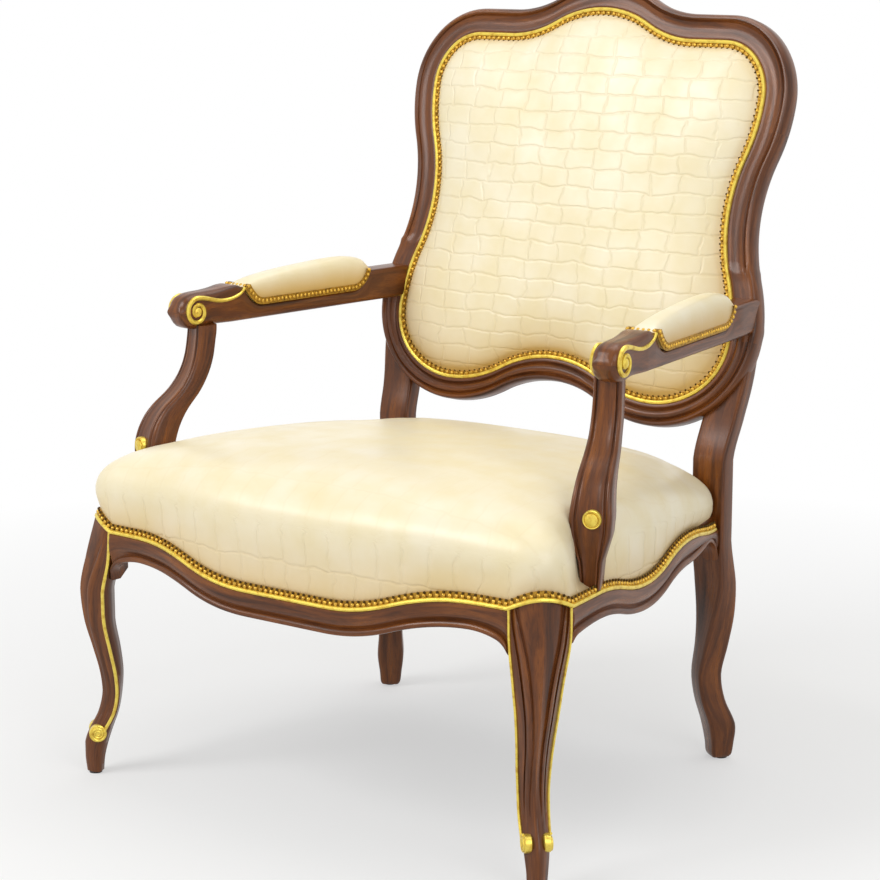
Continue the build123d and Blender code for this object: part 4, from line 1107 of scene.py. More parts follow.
@dataclass
class FrontLegs:
    """Cabriole front legs with a ribbed knee, gilt edges and a scroll toe."""

    leg_x: float = 345.6
    leg_y: float = -327.4
    arch: float = 13.0
    toe_radius: float = 11.5
    toe_out: float = 9.0
    toe_height: float = 57.0
    toe_width: float = 33.0
    edge_bead: float = 2.2
    gilt_foot: float = 58.0
    far_edge: int = 26
    groove_z: tuple[float, ...] = (60.0, 101.0, 173.0, 268.0, 316.0, 346.0)
    inner_groove: tuple[float, ...] = (0.36, 0.36, 0.27, 0.46, 0.68, 0.82)
    outer_groove: tuple[float, ...] = (0.68, 0.68, 0.6, 0.74, 0.88, 0.92)
    sections: tuple[tuple[float, ...], ...] = (
        (3.0, 24.0, 12.0, 2.0, 24.0, 0.0),
        (22.0, 26.0, 13.0, 0.0, 26.0, 0.0),
        (42.0, 26.0, 9.0, -5.0, 30.0, 0.0),
        (60.0, 20.0, 1.0, -11.0, 33.0, 0.0),
        (85.0, 7.0, -12.0, -20.0, 35.0, 0.0),
        (112.0, 1.0, -17.0, -25.0, 36.0, 0.0),
        (140.0, 4.0, -15.0, -27.0, 39.0, 0.0),
        (172.0, 12.0, -9.0, -24.0, 43.0, 0.4),
        (210.0, 22.0, -2.0, -18.0, 50.0, 1.0),
        (252.0, 26.0, -1.0, -18.0, 60.0, 2.0),
        (292.0, 18.0, -9.0, -30.0, 71.0, 5.0),
        (333.0, 3.8, -12.0, -40.0, 73.0, 5.5),
    )

    def place(self, out: np.ndarray, across: np.ndarray, height: np.ndarray) -> np.ndarray:
        """Place points of the leg's diagonal frame in the chair."""
        half = math.sqrt(0.5)
        return np.stack(
            (self.leg_x + (out + across) * half, self.leg_y + (across - out) * half, height + 0.0 * out), axis=-1
        )

    def section(
        self, height: float, ridge: float, edge: float, back: float, wide: float, shift: float
    ) -> np.ndarray:
        """Trace one level of the leg: a middle field between two grooves on each side, which spread upwards.

        Args:
            height: Height of the level.
            ridge: Outward place of the middle ridge.
            edge: Outward place of the two side edges.
            back: Outward place of the inner edge.
            wide: Width from edge to edge.
            shift: Distance of the level's middle from the leg's middle plane.

        Returns:
            Points of the level, in the chair.
        """
        lines = through(np.array((self.groove_z, self.inner_groove, self.outer_groove)).T, 8).T
        first, second = (float(np.interp(height, lines[0], line)) for line in lines[1:])
        share = np.array(
            (
                0.0, 0.25 * first, 0.6 * first, first - 0.07, first - 0.02, first + 0.02, first + 0.06,
                (first + second) / 2, second - 0.05, second - 0.015, second + 0.015, min(second + 0.05, 0.97),
                0.985, 1.0,
            )
        )
        cut = np.array((-0.6, 1.4, 2.6, 3.2, 4.4, 3.8, 0.4, -0.8, 0.4, 3.6, 3.4, 0.4, 0.0, 0.6))
        strength = np.clip((height - 60) / 60, 0.0, 1.0)
        out = ridge + (edge - ridge) * share**1.7 - cut * strength * np.clip(wide / 56, 0.6, 1.1)
        across = share * wide / 2
        front_out = np.concatenate((out[:0:-1], out))
        front_across = np.concatenate((-across[:0:-1], across))
        rear_out = np.array((edge - 4, back + (edge - back) * 0.35, back, back + (edge - back) * 0.35, edge - 4))
        rear_across = np.array((0.485, 0.33, 0.0, -0.33, -0.485)) * wide
        outs = np.concatenate((front_out, rear_out))
        acrosses = np.concatenate((front_across, rear_across))
        level = np.full(len(outs), height)
        if height > 292:
            lift = (height - 292) / 41 * self.arch
            level = level + lift * np.cos(np.clip(acrosses / wide, -0.5, 0.5) * math.pi)
        return self.place(outs, acrosses + shift, level)

    def build(self, finishes: Finishes) -> None:
        """Make both legs and their gilding.

        Args:
            finishes: Materials of the chair.
        """
        levels = through(np.array(self.sections), 6)
        rows = np.stack([self.section(*level) for level in levels])
        gilt_levels = levels[:, 0] > self.gilt_foot
        edges = [rows[gilt_levels, column] for column in (0, self.far_edge)]
        outward = self.place(np.ones(1), np.zeros(1), np.zeros(1))[0] - self.place(*np.zeros((3, 1)))[0]
        turn = np.linspace(0, math.tau, 25)[:-1]
        drum = np.array((-0.5, -0.46, -0.24, -0.2)) * self.toe_width
        reach = np.array((0.84, 1.0, 1.0, 0.84)) * self.toe_radius
        toe = np.stack(
            [
                self.place(
                    self.toe_out + r * np.cos(turn), np.full(len(turn), w), self.toe_height + r * np.sin(turn)
                )
                for w, r in zip(drum, reach)
            ]
        )
        axle = self.place(np.zeros(1), np.ones(1), np.zeros(1))[0] - self.place(*np.zeros((3, 1)))[0]
        far_toe = toe + axle * (0.7 * self.toe_width)
        coil = np.linspace(0, 2.6 * math.tau, 60)
        coil_reach = self.toe_radius * (0.92 - 0.3 * coil / math.tau)
        for side in Side:
            draft = MeshDraft()
            draft.grid(side.turn(rows))
            leg = draft.build(f"{side.node('front_leg')}_look", finishes.walnut, crease=50.0)
            hand_in(leg, "show_wood", side.node("front_leg"))
            gilding = MeshDraft()
            for edge in edges:
                gilding.tube(side.turn(edge), self.edge_bead, side.turn(outward), sides=6)
            for end in (-0.5, 0.5):
                gilding.grid(side.turn(toe if end < 0 else far_toe))
                spiral = self.place(
                    self.toe_out + coil_reach * np.cos(coil + math.pi / 2),
                    np.full(len(coil), end * self.toe_width),
                    self.toe_height + coil_reach * np.sin(coil + math.pi / 2),
                )
                gilding.tube(side.turn(spiral), np.linspace(1.9, 1.1, len(coil)), side.turn(axle), sides=6)
            piece = gilding.build(f"{side.node('front_leg')}_gilding", finishes.gilt)
            hand_in(piece, "gilt_trim")


@dataclass
class SeatRails:
    """Shaped seat rails with a moulded lower edge."""

    plan: SeatPlan
    thick: float = 30.0
    tack_top: float = 337.0
    rebate: float = 8.0
    tuck: float = 9.0

    def section(self, top: float, foot: float) -> np.ndarray:
        """Trace the rail's section as distance outwards and height.

        Args:
            top: Height of the show face's upper edge.
            foot: Height of the lower edge.

        Returns:
            Points of the section.
        """
        deep = top - foot
        return np.array(
            (
                (-self.rebate, self.tack_top),
                (-self.rebate, top),
                (-1.5, top),
                (0.6, top - 1.6),
                (1.6, top - 0.2 * deep),
                (1.8, top - 0.36 * deep),
                (1.0, top - 0.52 * deep),
                (-1.0, top - 0.6 * deep),
                (-3.4, foot + 10.5),
                (-3.8, foot + 8.8),
                (-1.0, foot + 7.6),
                (0.8, foot + 5.4),
                (1.2, foot + 3.2),
                (0.2, foot + 1.0),
                (-2.4, foot),
                (-16.0, foot),
                (-self.thick, foot + 12),
                (-self.thick, self.tack_top),
            )
        )

    def sweep(self, line: np.ndarray, outward: np.ndarray, tops: np.ndarray, feet: np.ndarray) -> np.ndarray:
        """Sweep the section along the outline.

        Args:
            line: Points of the outline.
            outward: Outward direction at each point.
            tops: Height of the show face's upper edge at each point.
            feet: Height of the lower edge at each point.

        Returns:
            Rows of points, one for each step along the rail.
        """
        rows = []
        for (x, y), (u, v), top, foot in zip(line, outward, tops, feet):
            section = self.section(top, foot)
            rows.append(np.column_stack((x + section[:, 0] * u, y + section[:, 0] * v, section[:, 1])))
        return np.stack(rows)

    def front(self) -> np.ndarray:
        """Sweep the right half of the front rail."""
        plan = self.plan
        low, high = plan.front_low - plan.show_face, plan.nail_high - plan.show_face
        lower = trace(
            [(0.0, low, 0.0), (60.0, low, 0.0), (258.0, high, 0.0), (316.0, plan.bracket_foot, -90.0)], 14
        )
        lower = np.vstack((lower, (330.0, plan.bracket_foot)))
        outline = plan.half(0.0)
        ahead = np.gradient(outline, axis=0)
        ahead /= np.linalg.norm(ahead, axis=1)[:, None]
        forward = outline[:, 1] < -plan.front + plan.corner * 0.5
        x = lower[:, 0]
        y = at(outline[forward], x) + self.tuck * np.clip((x - plan.half_front + plan.corner) / 6, 0, 1)
        slope = np.interp(x, outline[forward, 0], -ahead[forward, 1])
        outward = np.column_stack((-slope, -np.sqrt(1 - slope**2)))
        return self.sweep(np.column_stack((x, y)), outward, at(plan.front_nail(), x), lower[:, 1])

    def side(self) -> np.ndarray:
        """Sweep the right side rail from the front leg to the rear post."""
        plan = self.plan
        high, low = plan.nail_high - plan.show_face, plan.side_low - plan.show_face
        lower = trace(
            [
                (-296.0, plan.bracket_foot, 90.0),
                (-220.0, high, 0.0),
                (-72.0, low, 0.0),
                (66.0, high, 0.0),
                (190.0, plan.rear_bracket, -80.0),
            ],
            12,
        )
        lower = np.vstack(((-312.0, plan.bracket_foot), lower, (196.0, plan.rear_bracket)))
        outline = plan.half(0.0)
        ahead = np.gradient(outline, axis=0)
        ahead /= np.linalg.norm(ahead, axis=1)[:, None]
        behind = outline[:, 1] > -plan.front + 4
        y = lower[:, 0]
        x = at(outline[behind], y, key=1) - self.tuck * np.clip((-plan.front + plan.corner - y) / 6, 0, 1)
        bent = np.interp(y, outline[behind, 1], -ahead[behind, 0])
        outward = np.column_stack((np.sqrt(1 - bent**2), bent))
        return self.sweep(np.column_stack((x, y)), outward, at(plan.side_nail(), y), lower[:, 1])

    def rear(self) -> np.ndarray:
        """Sweep the plain rear rail between the posts."""
        plan = self.plan
        x = np.linspace(-250.0, 250.0, 24)
        line = np.column_stack((x, np.full(24, plan.rear)))
        foot = np.full(24, plan.rear_nail - plan.show_face)
        return self.sweep(line, np.tile((0.0, 1.0), (24, 1)), np.full(24, plan.rear_nail), foot)

    def build(self, finishes: Finishes) -> None:
        """Make the four rails.

        Args:
            finishes: Materials of the chair.
        """
        front, side = self.front(), self.side()
        shapes = {
            "front_rail": np.vstack((Side.LEFT.turn(front[:0:-1]), front)),
            "side_rail_right": side,
            "side_rail_left": Side.LEFT.turn(side),
            "rear_rail": self.rear(),
        }
        for name, rows in shapes.items():
            draft = MeshDraft()
            draft.grid(rows)
            hand_in(draft.build(f"{name}_look", finishes.walnut), "show_wood", name)


@dataclass
class Arms:
    """Arms with a scroll end and a bed for the pad, on ribbed curved posts."""

    rear: tuple[float, float] = (290.0, 202.0)
    front: tuple[float, float] = (337.0, -184.0)
    half_width: float = 18.5
    knuckle_half: float = 17.5
    under: float = 578.0
    rear_top: float = 622.0
    bed: float = 597.0
    tail: float = -45.0
    nose: float = 390.0
    pad_start: float = 40.0
    pad_end: float = 279.0
    post_x: float = 323.0
    post_y: float = -144.0
    post_turn: float = 19.0
    post_foot: float = 338.0
    rosette_z: float = 425.0
    eye: float = 363.0
    eye_z: float = 598.5
    coil: float = 18.6

    def place(self, along: np.ndarray, across: np.ndarray, height: np.ndarray) -> np.ndarray:
        """Place points of the right arm's frame in the chair."""
        start, run = np.array(self.rear), np.array(self.front) - np.array(self.rear)
        run = run / np.linalg.norm(run)
        out = np.array((-run[1], run[0]))
        along, across, height = np.broadcast_arrays(along, across, height)
        flat = start + along[..., None] * run + across[..., None] * out
        return np.concatenate((flat, height[..., None]), axis=-1)

    def bed_line(self) -> np.ndarray:
        """Trace the scooped bed of the pad as distance along the arm and height."""
        return trace(
            [
                (self.pad_start, self.rear_top, -70.0),
                (self.pad_start + 34, self.bed, 0.0),
                (self.pad_end - 34, self.bed, 0.0),
                (self.pad_end, self.rear_top, 60.0),
            ]
        )

    def top_line(self) -> np.ndarray:
        """Trace the whole top of the arm from the stile to the nose."""
        knuckle = trace(
            [
                (self.pad_end, self.rear_top, 35.0),
                (294.0, 627.0, 0.0),
                (328.0, 624.0, -3.0),
                (362.0, 622.5, -5.0),
                (384.0, 612.0, -58.0),
                (self.nose, 598.5, -90.0),
            ]
        )
        return np.vstack(((self.tail, self.rear_top), (6.0, self.rear_top), self.bed_line(), knuckle[1:]))

    def lower_line(self) -> np.ndarray:
        """Trace the underside of the arm."""
        knuckle = trace(
            [
                (325.0, self.under, 0.0),
                (360.0, self.under - 3.5, 0.0),
                (384.0, 585.0, 58.0),
                (self.nose, 598.5, 90.0),
            ],
            10,
        )
        return np.vstack(((self.tail, self.under), (300.0, self.under), knuckle))

    def arm_rows(self) -> np.ndarray:
        """Sweep the right arm from the stile to the nose."""
        rows = []
        lower = self.lower_line()
        for along, top in self.top_line():
            foot = float(np.interp(along, lower[:, 0], lower[:, 1]))
            swell = np.clip((along - 300) / 40, 0, 1)
            half = self.half_width + (self.knuckle_half - self.half_width) * swell
            half -= 5 * max(0.0, (along - 372) / 18) ** 2
            tall = max(top - foot, 1.0)
            radius = min(6.0 + 5.0 * swell, tall * 0.45)
            section = rounded_section(2 * half, tall, radius, per_corner=5)
            rows.append(self.place(np.full(len(section), along), section[:, 0], section[:, 1] + (top + foot) / 2))
        return np.stack(rows)

    def post_place(self, along: np.ndarray, across: np.ndarray, height: np.ndarray) -> np.ndarray:
        """Place points of the right arm post's frame in the chair."""
        turn = math.radians(self.post_turn)
        run = np.array((math.sin(turn), -math.cos(turn)))
        out = np.array((math.cos(turn), math.sin(turn)))
        along, across, height = np.broadcast_arrays(along, across, height)
        flat = np.array((self.post_x, self.post_y)) + along[..., None] * run + across[..., None] * out
        return np.concatenate((flat, height[..., None]), axis=-1)

    def post_edges(self) -> tuple[np.ndarray, np.ndarray, np.ndarray]:
        """Trace the front edge, the rear edge and the half width of the arm post over its height."""
        front = trace([(16.0, 580.0, -90.0), (19.0, 550.0, -82.0), (96.0, 415.0, -90.0), (90.0, 337.0, -90.0)])
        rear = trace([(-17.0, 580.0, -90.0), (-13.0, 550.0, -82.0), (56.0, 415.0, -82.0), (60.0, 337.0, -90.0)])
        half = (
            (11.5, 337.0), (15.0, 372.0), (25.0, 404.0), (26.5, 425.0), (23.5, 455.0), (19.0, 510.0), (17.5, 580.0)
        )
        return front, rear, np.array(half)

    def post_rows(self) -> np.ndarray:
        """Sweep the right arm post from its foot to the arm."""
        front, rear, half = self.post_edges()
        share = np.array((1.0, 0.97, 0.91, 0.84, 0.77, 0.71, 0.66, 0.61, 0.55, 0.42, 0.22, 0.0))
        cut = np.array((4.5, 2.0, 0.3, 0.0, 0.7, 3.2, 3.4, 1.0, 0.6, 1.6, 2.2, 2.4))
        rows = []
        for height in np.linspace(self.post_foot, 580.0, 44):
            fore = float(at(front, height, key=1))
            aft = float(at(rear, height, key=1))
            wide = float(np.interp(height, half[:, 1], half[:, 0]))
            along = fore - cut - 2.5 * share**2
            across = share * wide
            back_share = np.array((0.9, 0.55, 0.0, -0.55, -0.9))
            back_cut = np.array((4.0, 1.0, 0.0, 1.0, 4.0))
            alongs = np.concatenate((along, along[-2::-1], aft + back_cut))
            acrosses = np.concatenate((across, -across[-2::-1], -back_share * wide))
            rows.append(self.post_place(alongs, acrosses, np.full(len(alongs), height)))
        return np.stack(rows)

    def rosette(self, draft: MeshDraft, side: Side) -> None:
        """Turn a ringed boss onto the front of the arm post.

        Args:
            draft: Mesh that gets the boss.
            side: Side of the chair.
        """
        profile = (
            (11.5, -4.0), (11.5, 2.2), (10.6, 3.4), (9.6, 3.0), (9.0, 1.4), (8.2, 1.4), (7.6, 3.8), (5.0, 5.0),
            (0.3, 5.4),
        )
        front, _, _ = self.post_edges()
        face = float(at(front, self.rosette_z, key=1))
        turn = np.arange(24) / 24 * math.tau
        rows = [
            self.post_place(np.full(24, face + out - 0.8), 3.5 + r * np.cos(turn), self.rosette_z + r * np.sin(turn))
            for r, out in profile
        ]
        draft.grid(side.turn(np.stack(rows)))

    def volute(self, draft: MeshDraft, side: Side, cheek: int) -> None:
        """Lay a gilt spiral on one cheek of the knuckle, run out along the arm's top edge.

        Args:
            draft: Mesh that gets the spiral.
            side: Side of the chair.
            cheek: 1 for the outer cheek and -1 for the inner one.
        """
        coil = np.linspace(0, 1.45 * math.tau, 60)
        reach = self.coil * (1 - 0.5 * coil / math.tau)
        spiral = np.column_stack((self.eye + reach * np.sin(coil), self.eye_z + reach * np.cos(coil)))
        lead = trace(
            [
                (self.pad_end, self.rear_top + 1, -60.0),
                (300.0, 611.0, -12.0),
                (332.0, 611.5, 14.0),
                (self.eye, self.eye_z + self.coil, 0.0),
            ]
        )[:-1]
        line = np.vstack((lead, spiral))
        swell = np.clip((line[:, 0] - 300) / 40, 0, 1)
        half = self.half_width + (self.knuckle_half - self.half_width) * swell
        path = self.place(line[:, 0], cheek * (half + 0.2), line[:, 1])
        thick = np.concatenate((np.linspace(1.9, 3.2, len(lead)), np.linspace(3.4, 2.4, len(spiral))))
        out = self.place(0.0, 1.0, 0.0) - self.place(0.0, 0.0, 0.0)
        draft.tube(side.turn(path), thick, side.turn(out), sides=7)
        eye = np.column_stack((np.cos(np.arange(12) / 12 * math.tau), np.sin(np.arange(12) / 12 * math.tau)))
        cheek_at = self.knuckle_half
        rows = [
            self.place(self.eye + r * eye[:, 0], np.full(12, cheek * (cheek_at + d)), self.eye_z + r * eye[:, 1])
            for r, d in ((6.2, -1.0), (6.2, 1.8), (4.6, 3.2), (0.3, 3.8))
        ]
        draft.grid(side.turn(np.stack(rows)))

    def build(self, finishes: Finishes) -> None:
        """Make both arms, their posts and their gilding.

        Args:
            finishes: Materials of the chair.
        """
        arm, post = self.arm_rows(), self.post_rows()
        for side in Side:
            for stem, rows in (("arm", arm), ("arm_post", post)):
                draft = MeshDraft()
                draft.grid(side.turn(rows))
                piece = draft.build(f"{side.node(stem)}_look", finishes.walnut, crease=45.0)
                hand_in(piece, "show_wood", side.node(stem))
            gilding = MeshDraft()
            for cheek in (1, -1):
                self.volute(gilding, side, cheek)
            self.rosette(gilding, side)
            piece = gilding.build(f"{side.node('arm')}_gilding", finishes.gilt)
            hand_in(piece, "gilt_trim")


def swell(piece: bpy.types.Object, free: np.ndarray, pressure: float, limit: float, frames: int = 20) -> None:
    """Let a cover fill out under pressure and keep the shape.

    Args:
        piece: Closed cover mesh.
        free: From 0, held, to 1, free, for each point.
        pressure: Pressure inside the cover.
        limit: Most that a point may move, in millimetres.
        frames: Number of frames that the cloth runs.
    """
    scene = bpy.context.scene
    start = np.empty(len(piece.data.vertices) * 3)
    piece.data.vertices.foreach_get("co", start)
    held = piece.vertex_groups.new(name="held")
    for index, value in enumerate(free):
        held.add([index], float(1 - value), "REPLACE")
    cloth = piece.modifiers.new("cover", "CLOTH")
    settings = cloth.settings
    settings.quality = 6
    settings.mass = 0.3
    settings.tension_stiffness = 25.0
    settings.compression_stiffness = 25.0
    settings.shear_stiffness = 8.0
    settings.bending_stiffness = 4.0
    settings.use_pressure = True
    settings.uniform_pressure_force = pressure
    settings.vertex_group_mass = held.name
    settings.effector_weights.gravity = 0.0
    cloth.point_cache.frame_start = 1
    cloth.point_cache.frame_end = frames
    for frame in range(1, frames + 1):
        scene.frame_set(frame)
    graph = bpy.context.evaluated_depsgraph_get()
    shape = piece.evaluated_get(graph).data
    moved = np.empty(len(start))
    shape.vertices.foreach_get("co", moved)
    step = (moved - start).reshape(-1, 3)
    pairs = np.empty(len(piece.data.edges) * 2, "i")
    piece.data.edges.foreach_get("vertices", pairs)
    one, other = pairs.reshape(-1, 2).T
    joined = np.bincount(pairs, minlength=len(step))[:, None]
    # A stretched hide shows no small wrinkles, so the movement is evened out over its neighbours.
    for _ in range(EVEN_ROUNDS):
        around = np.zeros_like(step)
        np.add.at(around, one, step[other])
        np.add.at(around, other, step[one])
        step = (step + around / joined) / 2 * (free > 0)[:, None]
    length = np.linalg.norm(step, axis=1)
    share = np.minimum(1.0, limit * MM / np.maximum(length, 1e-9))
    LOG.info("%s swelled by %.1f mm at most", piece.name, float((length * share).max()) / MM)
    piece.modifiers.remove(cloth)
    piece.data.vertices.foreach_set("co", start + (step * share[:, None]).ravel())
    piece.vertex_groups.remove(held)
    piece.data.update()
    scene.frame_set(1)


def stuff(
    piece: bpy.types.Object, pull: np.ndarray, free: np.ndarray, pressure: float, limit: float
) -> None:
    """Fill out a cover, round it and store the share of painted golden-tan shade on it.

    Args:
        piece: Closed cover mesh.
        pull: Share of painted golden-tan shade at each point, from 0 to 1; on the seat it also tells where the hide
            turns down.
        free: From 0, held, to 1, free, for each point.
        pressure: Pressure inside the cover.
        limit: Most that a point may move, in millimetres.
    """
    count = len(piece.data.vertices)
    # The painted shade is kept as a point attribute that the leather material reads.
    layer = piece.data.attributes.new(PAINTED_SHADE_AND_PULL, "FLOAT", "POINT")
    layer.data.foreach_set("value", pull[:count].astype("f"))
    swell(piece, free[:count], pressure, limit)
    smoother = piece.modifiers.new("smoother", "SUBSURF")
    smoother.levels = smoother.render_levels = 1


@dataclass
class SeatWebbing:
    """Cross webbing of the seat, cut to end inside the padding."""

    plan: SeatPlan
    wide: float = 50.0
    thick: float = 1.5
    pitch: float = 72.0
    count: int = 6
    middle_y: float = -62.5
    height: float = 354.25
    inset: float = 24.0
    reach: float = 318.0

    def build(self, finishes: Finishes) -> None:
        """Make the straps as one piece.

        Args:
            finishes: Materials of the chair.
        """
        edge = self.plan.half(-self.inset)
        draft = MeshDraft()
        for number in range(self.count):
            middle = self.middle_y + (number - (self.count - 1) / 2) * self.pitch
            y = np.array((-0.5, 0.5, 0.5, -0.5)) * self.wide + middle
            x = np.minimum(at(edge, y, key=1), self.reach)
            z = np.array((-0.5, -0.5, 0.5, 0.5)) * self.thick + self.height
            draft.grid(np.stack((np.column_stack((-x, y, z)), np.column_stack((x, y, z)))))
        piece = draft.build("seat_webbing_cross_look", finishes.jute)
        hand_in(piece, "webbing", "seat_webbing_cross")


@dataclass
class SeatCushion:
    """Sprung seat: a leather cover nailed round the rails, bulging at the sides and crowned on top."""

    plan: SeatPlan
    crown: float = 454.0
    fall: float = 2.7
    bulge_drop: float = 60.0
    dome: float = 3.8
    corner_run: float = 95.0
    corner_drop: float = 7.0
    corner_dome: float = 1.0
    rear_run: float = 120.0
    rear_drop: float = 14.0
    bulge_out: float = 6.0
    skirt_in: float = 6.0
    rear_round: float = 44.0
    middle_y: float = -70.0
    post_side: float = 236.0
    post_face: float = 190.0
    dent_x: float = 334.0
    dent_y: float = -218.0
    dent_run: float = 33.0
    dent_drop: float = 14.0
    fold_start: float = 60.0
    pressure: float = 4.0
    give: float = 9.0

    def build(self, finishes: Finishes) -> None:
        """Make the cover.

        Args:
            finishes: Materials of the chair.
        """
        slope = math.tan(math.radians(self.fall))
        skirt, wide = (
            mirrored_loop(self.plan.half(grow, self.rear_round, 8)) for grow in (-self.skirt_in, self.bulge_out)
        )
        knee = np.array((self.plan.half_front - 18, 18 - self.plan.front))
        hip = np.array((self.plan.half_rear + 10, self.post_face - 30))
        right = np.column_stack((np.abs(wide[:, 0]), wide[:, 1]))
        corner, rear = (
            np.exp(-((np.hypot(*(right - spot).T) / run) ** 2))
            for spot, run in ((knee, self.corner_run), (hip, self.rear_run))
        )
        wide = wide - (wide - skirt) * 0.15 * corner[:, None]
        steps = np.linalg.norm(np.roll(wide, -1, axis=0) - wide, axis=1)
        around, walk = steps.sum() / 2, np.cumsum(steps) - steps
        walk = np.where(walk > around, walk - 2 * around, walk)
        walk = np.where(np.abs(walk) > around / 2, np.sign(walk) * around - walk, walk)

        def plane(points: np.ndarray, drop: np.ndarray) -> np.ndarray:
            """Read the height of the sloping seat plane, lowered by a drop."""
            return self.crown - drop - (self.plan.front + points[:, 1]) * slope

        nail = self.plan.nail_height(skirt)
        rows = [np.column_stack((skirt, nail + rise)) for rise in (1.0, 6.0)]
        # Painted golden-tan shade: strong on the nailed skirt and the lower bulge, faint over the crown; the same
        # share also sets where the folds show.
        pull = [0.7, 0.7]
        drop = self.bulge_drop + self.corner_drop * corner + self.rear_drop * rear
        brim = plane(wide, drop)
        for share in (0.16, 0.34, 0.52, 0.7, 0.86, 1.0):
            line = skirt + (wide - skirt) * math.sin(share * math.pi / 2)
            rows.append(np.column_stack((line, (nail + 10) + (brim - nail - 10) * share)))
            pull.append(0.5 * (1 - share) ** 1.2 + 0.06)
        sheet = [np.column_stack((walk, brim - row[:, 2] + self.fold_start)) for row in rows]
        middle = np.array((0.0, self.middle_y))
        for share in (0.993, 0.978, 0.955, 0.925, 0.885, 0.835, 0.77, 0.69, 0.6, 0.5, 0.39, 0.27, 0.14):
            line = middle + (wide - middle) * share
            rise = (1 - share ** (self.dome - self.corner_dome * (corner + rear))) ** 0.48
            rows.append(np.column_stack((line, plane(line, drop * (1 - rise)))))
            sheet.append(line)
            pull.append(0.04 * share)
        shape = np.stack(rows)
        notch = (np.abs(shape[..., 0]) > self.post_side) & (shape[..., 1] > self.post_face)
        shape[..., 1] = np.where(notch, self.post_face, shape[..., 1])
        near = np.exp(-(((shape[..., 1] - self.dent_y) / self.dent_run) ** 2))
        near *= np.clip((shape[..., 2] - nail - 6) / 20, 0, 1)
        over = np.maximum(np.abs(shape[..., 0]) - self.dent_x, 0.0)
        shape[..., 0] -= np.sign(shape[..., 0]) * near * over
        shape[..., 2] -= self.dent_drop * near * np.clip(over / 20, 0, 1)
        draft = MeshDraft()
        draft.grid(shape)
        piece = draft.build("seat_cover_look", finishes.pleated, crease=80.0)
        flat = np.vstack((np.stack(sheet).reshape(-1, 2), (0.0, self.middle_y), (0.0, self.middle_y))) * MM
        layer = piece.data.uv_layers[GRAIN].data
        for spot in piece.data.loops:
            layer[spot.index].uv = flat[spot.vertex_index]
        size = shape.shape[1]
        values = np.concatenate((np.repeat(pull, size), (0.7, 0.0)))
        free = np.concatenate((np.repeat([0, 0] + [0.3, 0.7] + [1] * (len(rows) - 4), size), (0.0, 1.0)))
        stuff(piece, values, free, self.pressure, self.give)
        hand_in(piece, "leather", "seat_cover", "seat_foam")


@dataclass
class BackCushion:
    """Stuffed back in the front rabbet of the frame, and the covered panel behind it."""

    plan: BackPlan
    crown: float = 27.0
    strip: float = 9.0
    middle: float = 268.0
    rear_face: float = -26.0

    def cover(self, grow: float, crown: float, seat: float) -> np.ndarray:
        """Shape a cover that rises from its nailed edge to a crown.

        Args:
            grow: Distance of the edge outside the frame's inner outline.
            crown: Height of the crown over the edge.
            seat: Depth of the edge in front of the plane.

        Returns:
            Rows of points from the edge to the middle.
        """
        edge = mirrored_loop(self.plan.half(grow, 8))
        inner = mirrored_loop(self.plan.half(grow - self.strip, 8))
        rows = [self.plan.world(edge, seat - 2.5), self.plan.world(edge, seat), self.plan.world(inner, seat + 0.6)]
        middle = np.array((0.0, self.middle))
        for share in (0.985, 0.96, 0.925, 0.88, 0.82, 0.75, 0.67, 0.58, 0.48, 0.37, 0.25, 0.12):
            line = middle + (inner - middle) * share
            rows.append(self.plan.world(line, seat + 0.6 + crown * (1 - share**4) ** 0.5))
        return np.stack(rows)

    def tile_map(self, piece: bpy.types.Object) -> None:
        """Lay the piece's UV map flat on the raked plane, in metres."""
        lean = math.radians(self.plan.rake)
        layer = piece.data.uv_layers[GRAIN].data
        for corner in piece.data.loops:
            place = piece.data.vertices[corner.vertex_index].co
            layer[corner.index].uv = (place.x, (place.z - self.plan.foot_z * MM) / math.cos(lean))

    def build(self, finishes: Finishes) -> None:
        """Make the front cover and the outside back.

        Args:
            finishes: Materials of the chair.
        """
        shapes = (
            ("back_cover_look", self.cover(-3.0, self.crown, -3.6), 3.0, 8.0, ("back_cover", "back_foam")),
            ("outside_back_look", self.cover(-3.0, 5.0, 0.0), 1.0, 3.0, ("outside_back",)),
        )
        for name, shape, pressure, limit, nodes in shapes:
            if name.startswith("outside"):
                out = self.plan.facing()
                shape = shape + out * self.rear_face
                origin = self.plan.world(np.zeros((1, 2)), self.rear_face)[0]
                depth = (shape - origin) @ out
                shape = shape - 2 * depth[..., None] * out
            draft = MeshDraft()
            draft.grid(shape)
            piece = draft.build(name, finishes.tiled, crease=80.0)
            self.tile_map(piece)
            size, count = shape.shape[1], len(shape)
            # Painted golden-tan shade, deep along the lower edge and faint round the other edges.
            share = np.concatenate(([1.0, 1.0, 1.0], np.linspace(0.985, 0.12, count - 3)))[:, None]
            height = (shape[..., 2] - self.plan.foot_z) / math.cos(math.radians(self.plan.rake))
            low = np.clip(1 - height / self.middle, 0, 1)
            values = np.append((0.95 * share**3.5 * low**0.8 + 0.34 * share**12 * (1 - low**0.8)).ravel(), (0.5, 0.0))
            free = np.concatenate((np.repeat([0.0, 0.0, 0.0] + [1.0] * (count - 3), size), (0.0, 1.0)))
            stuff(piece, values, free, pressure, limit)
            hand_in(piece, "leather", *nodes)


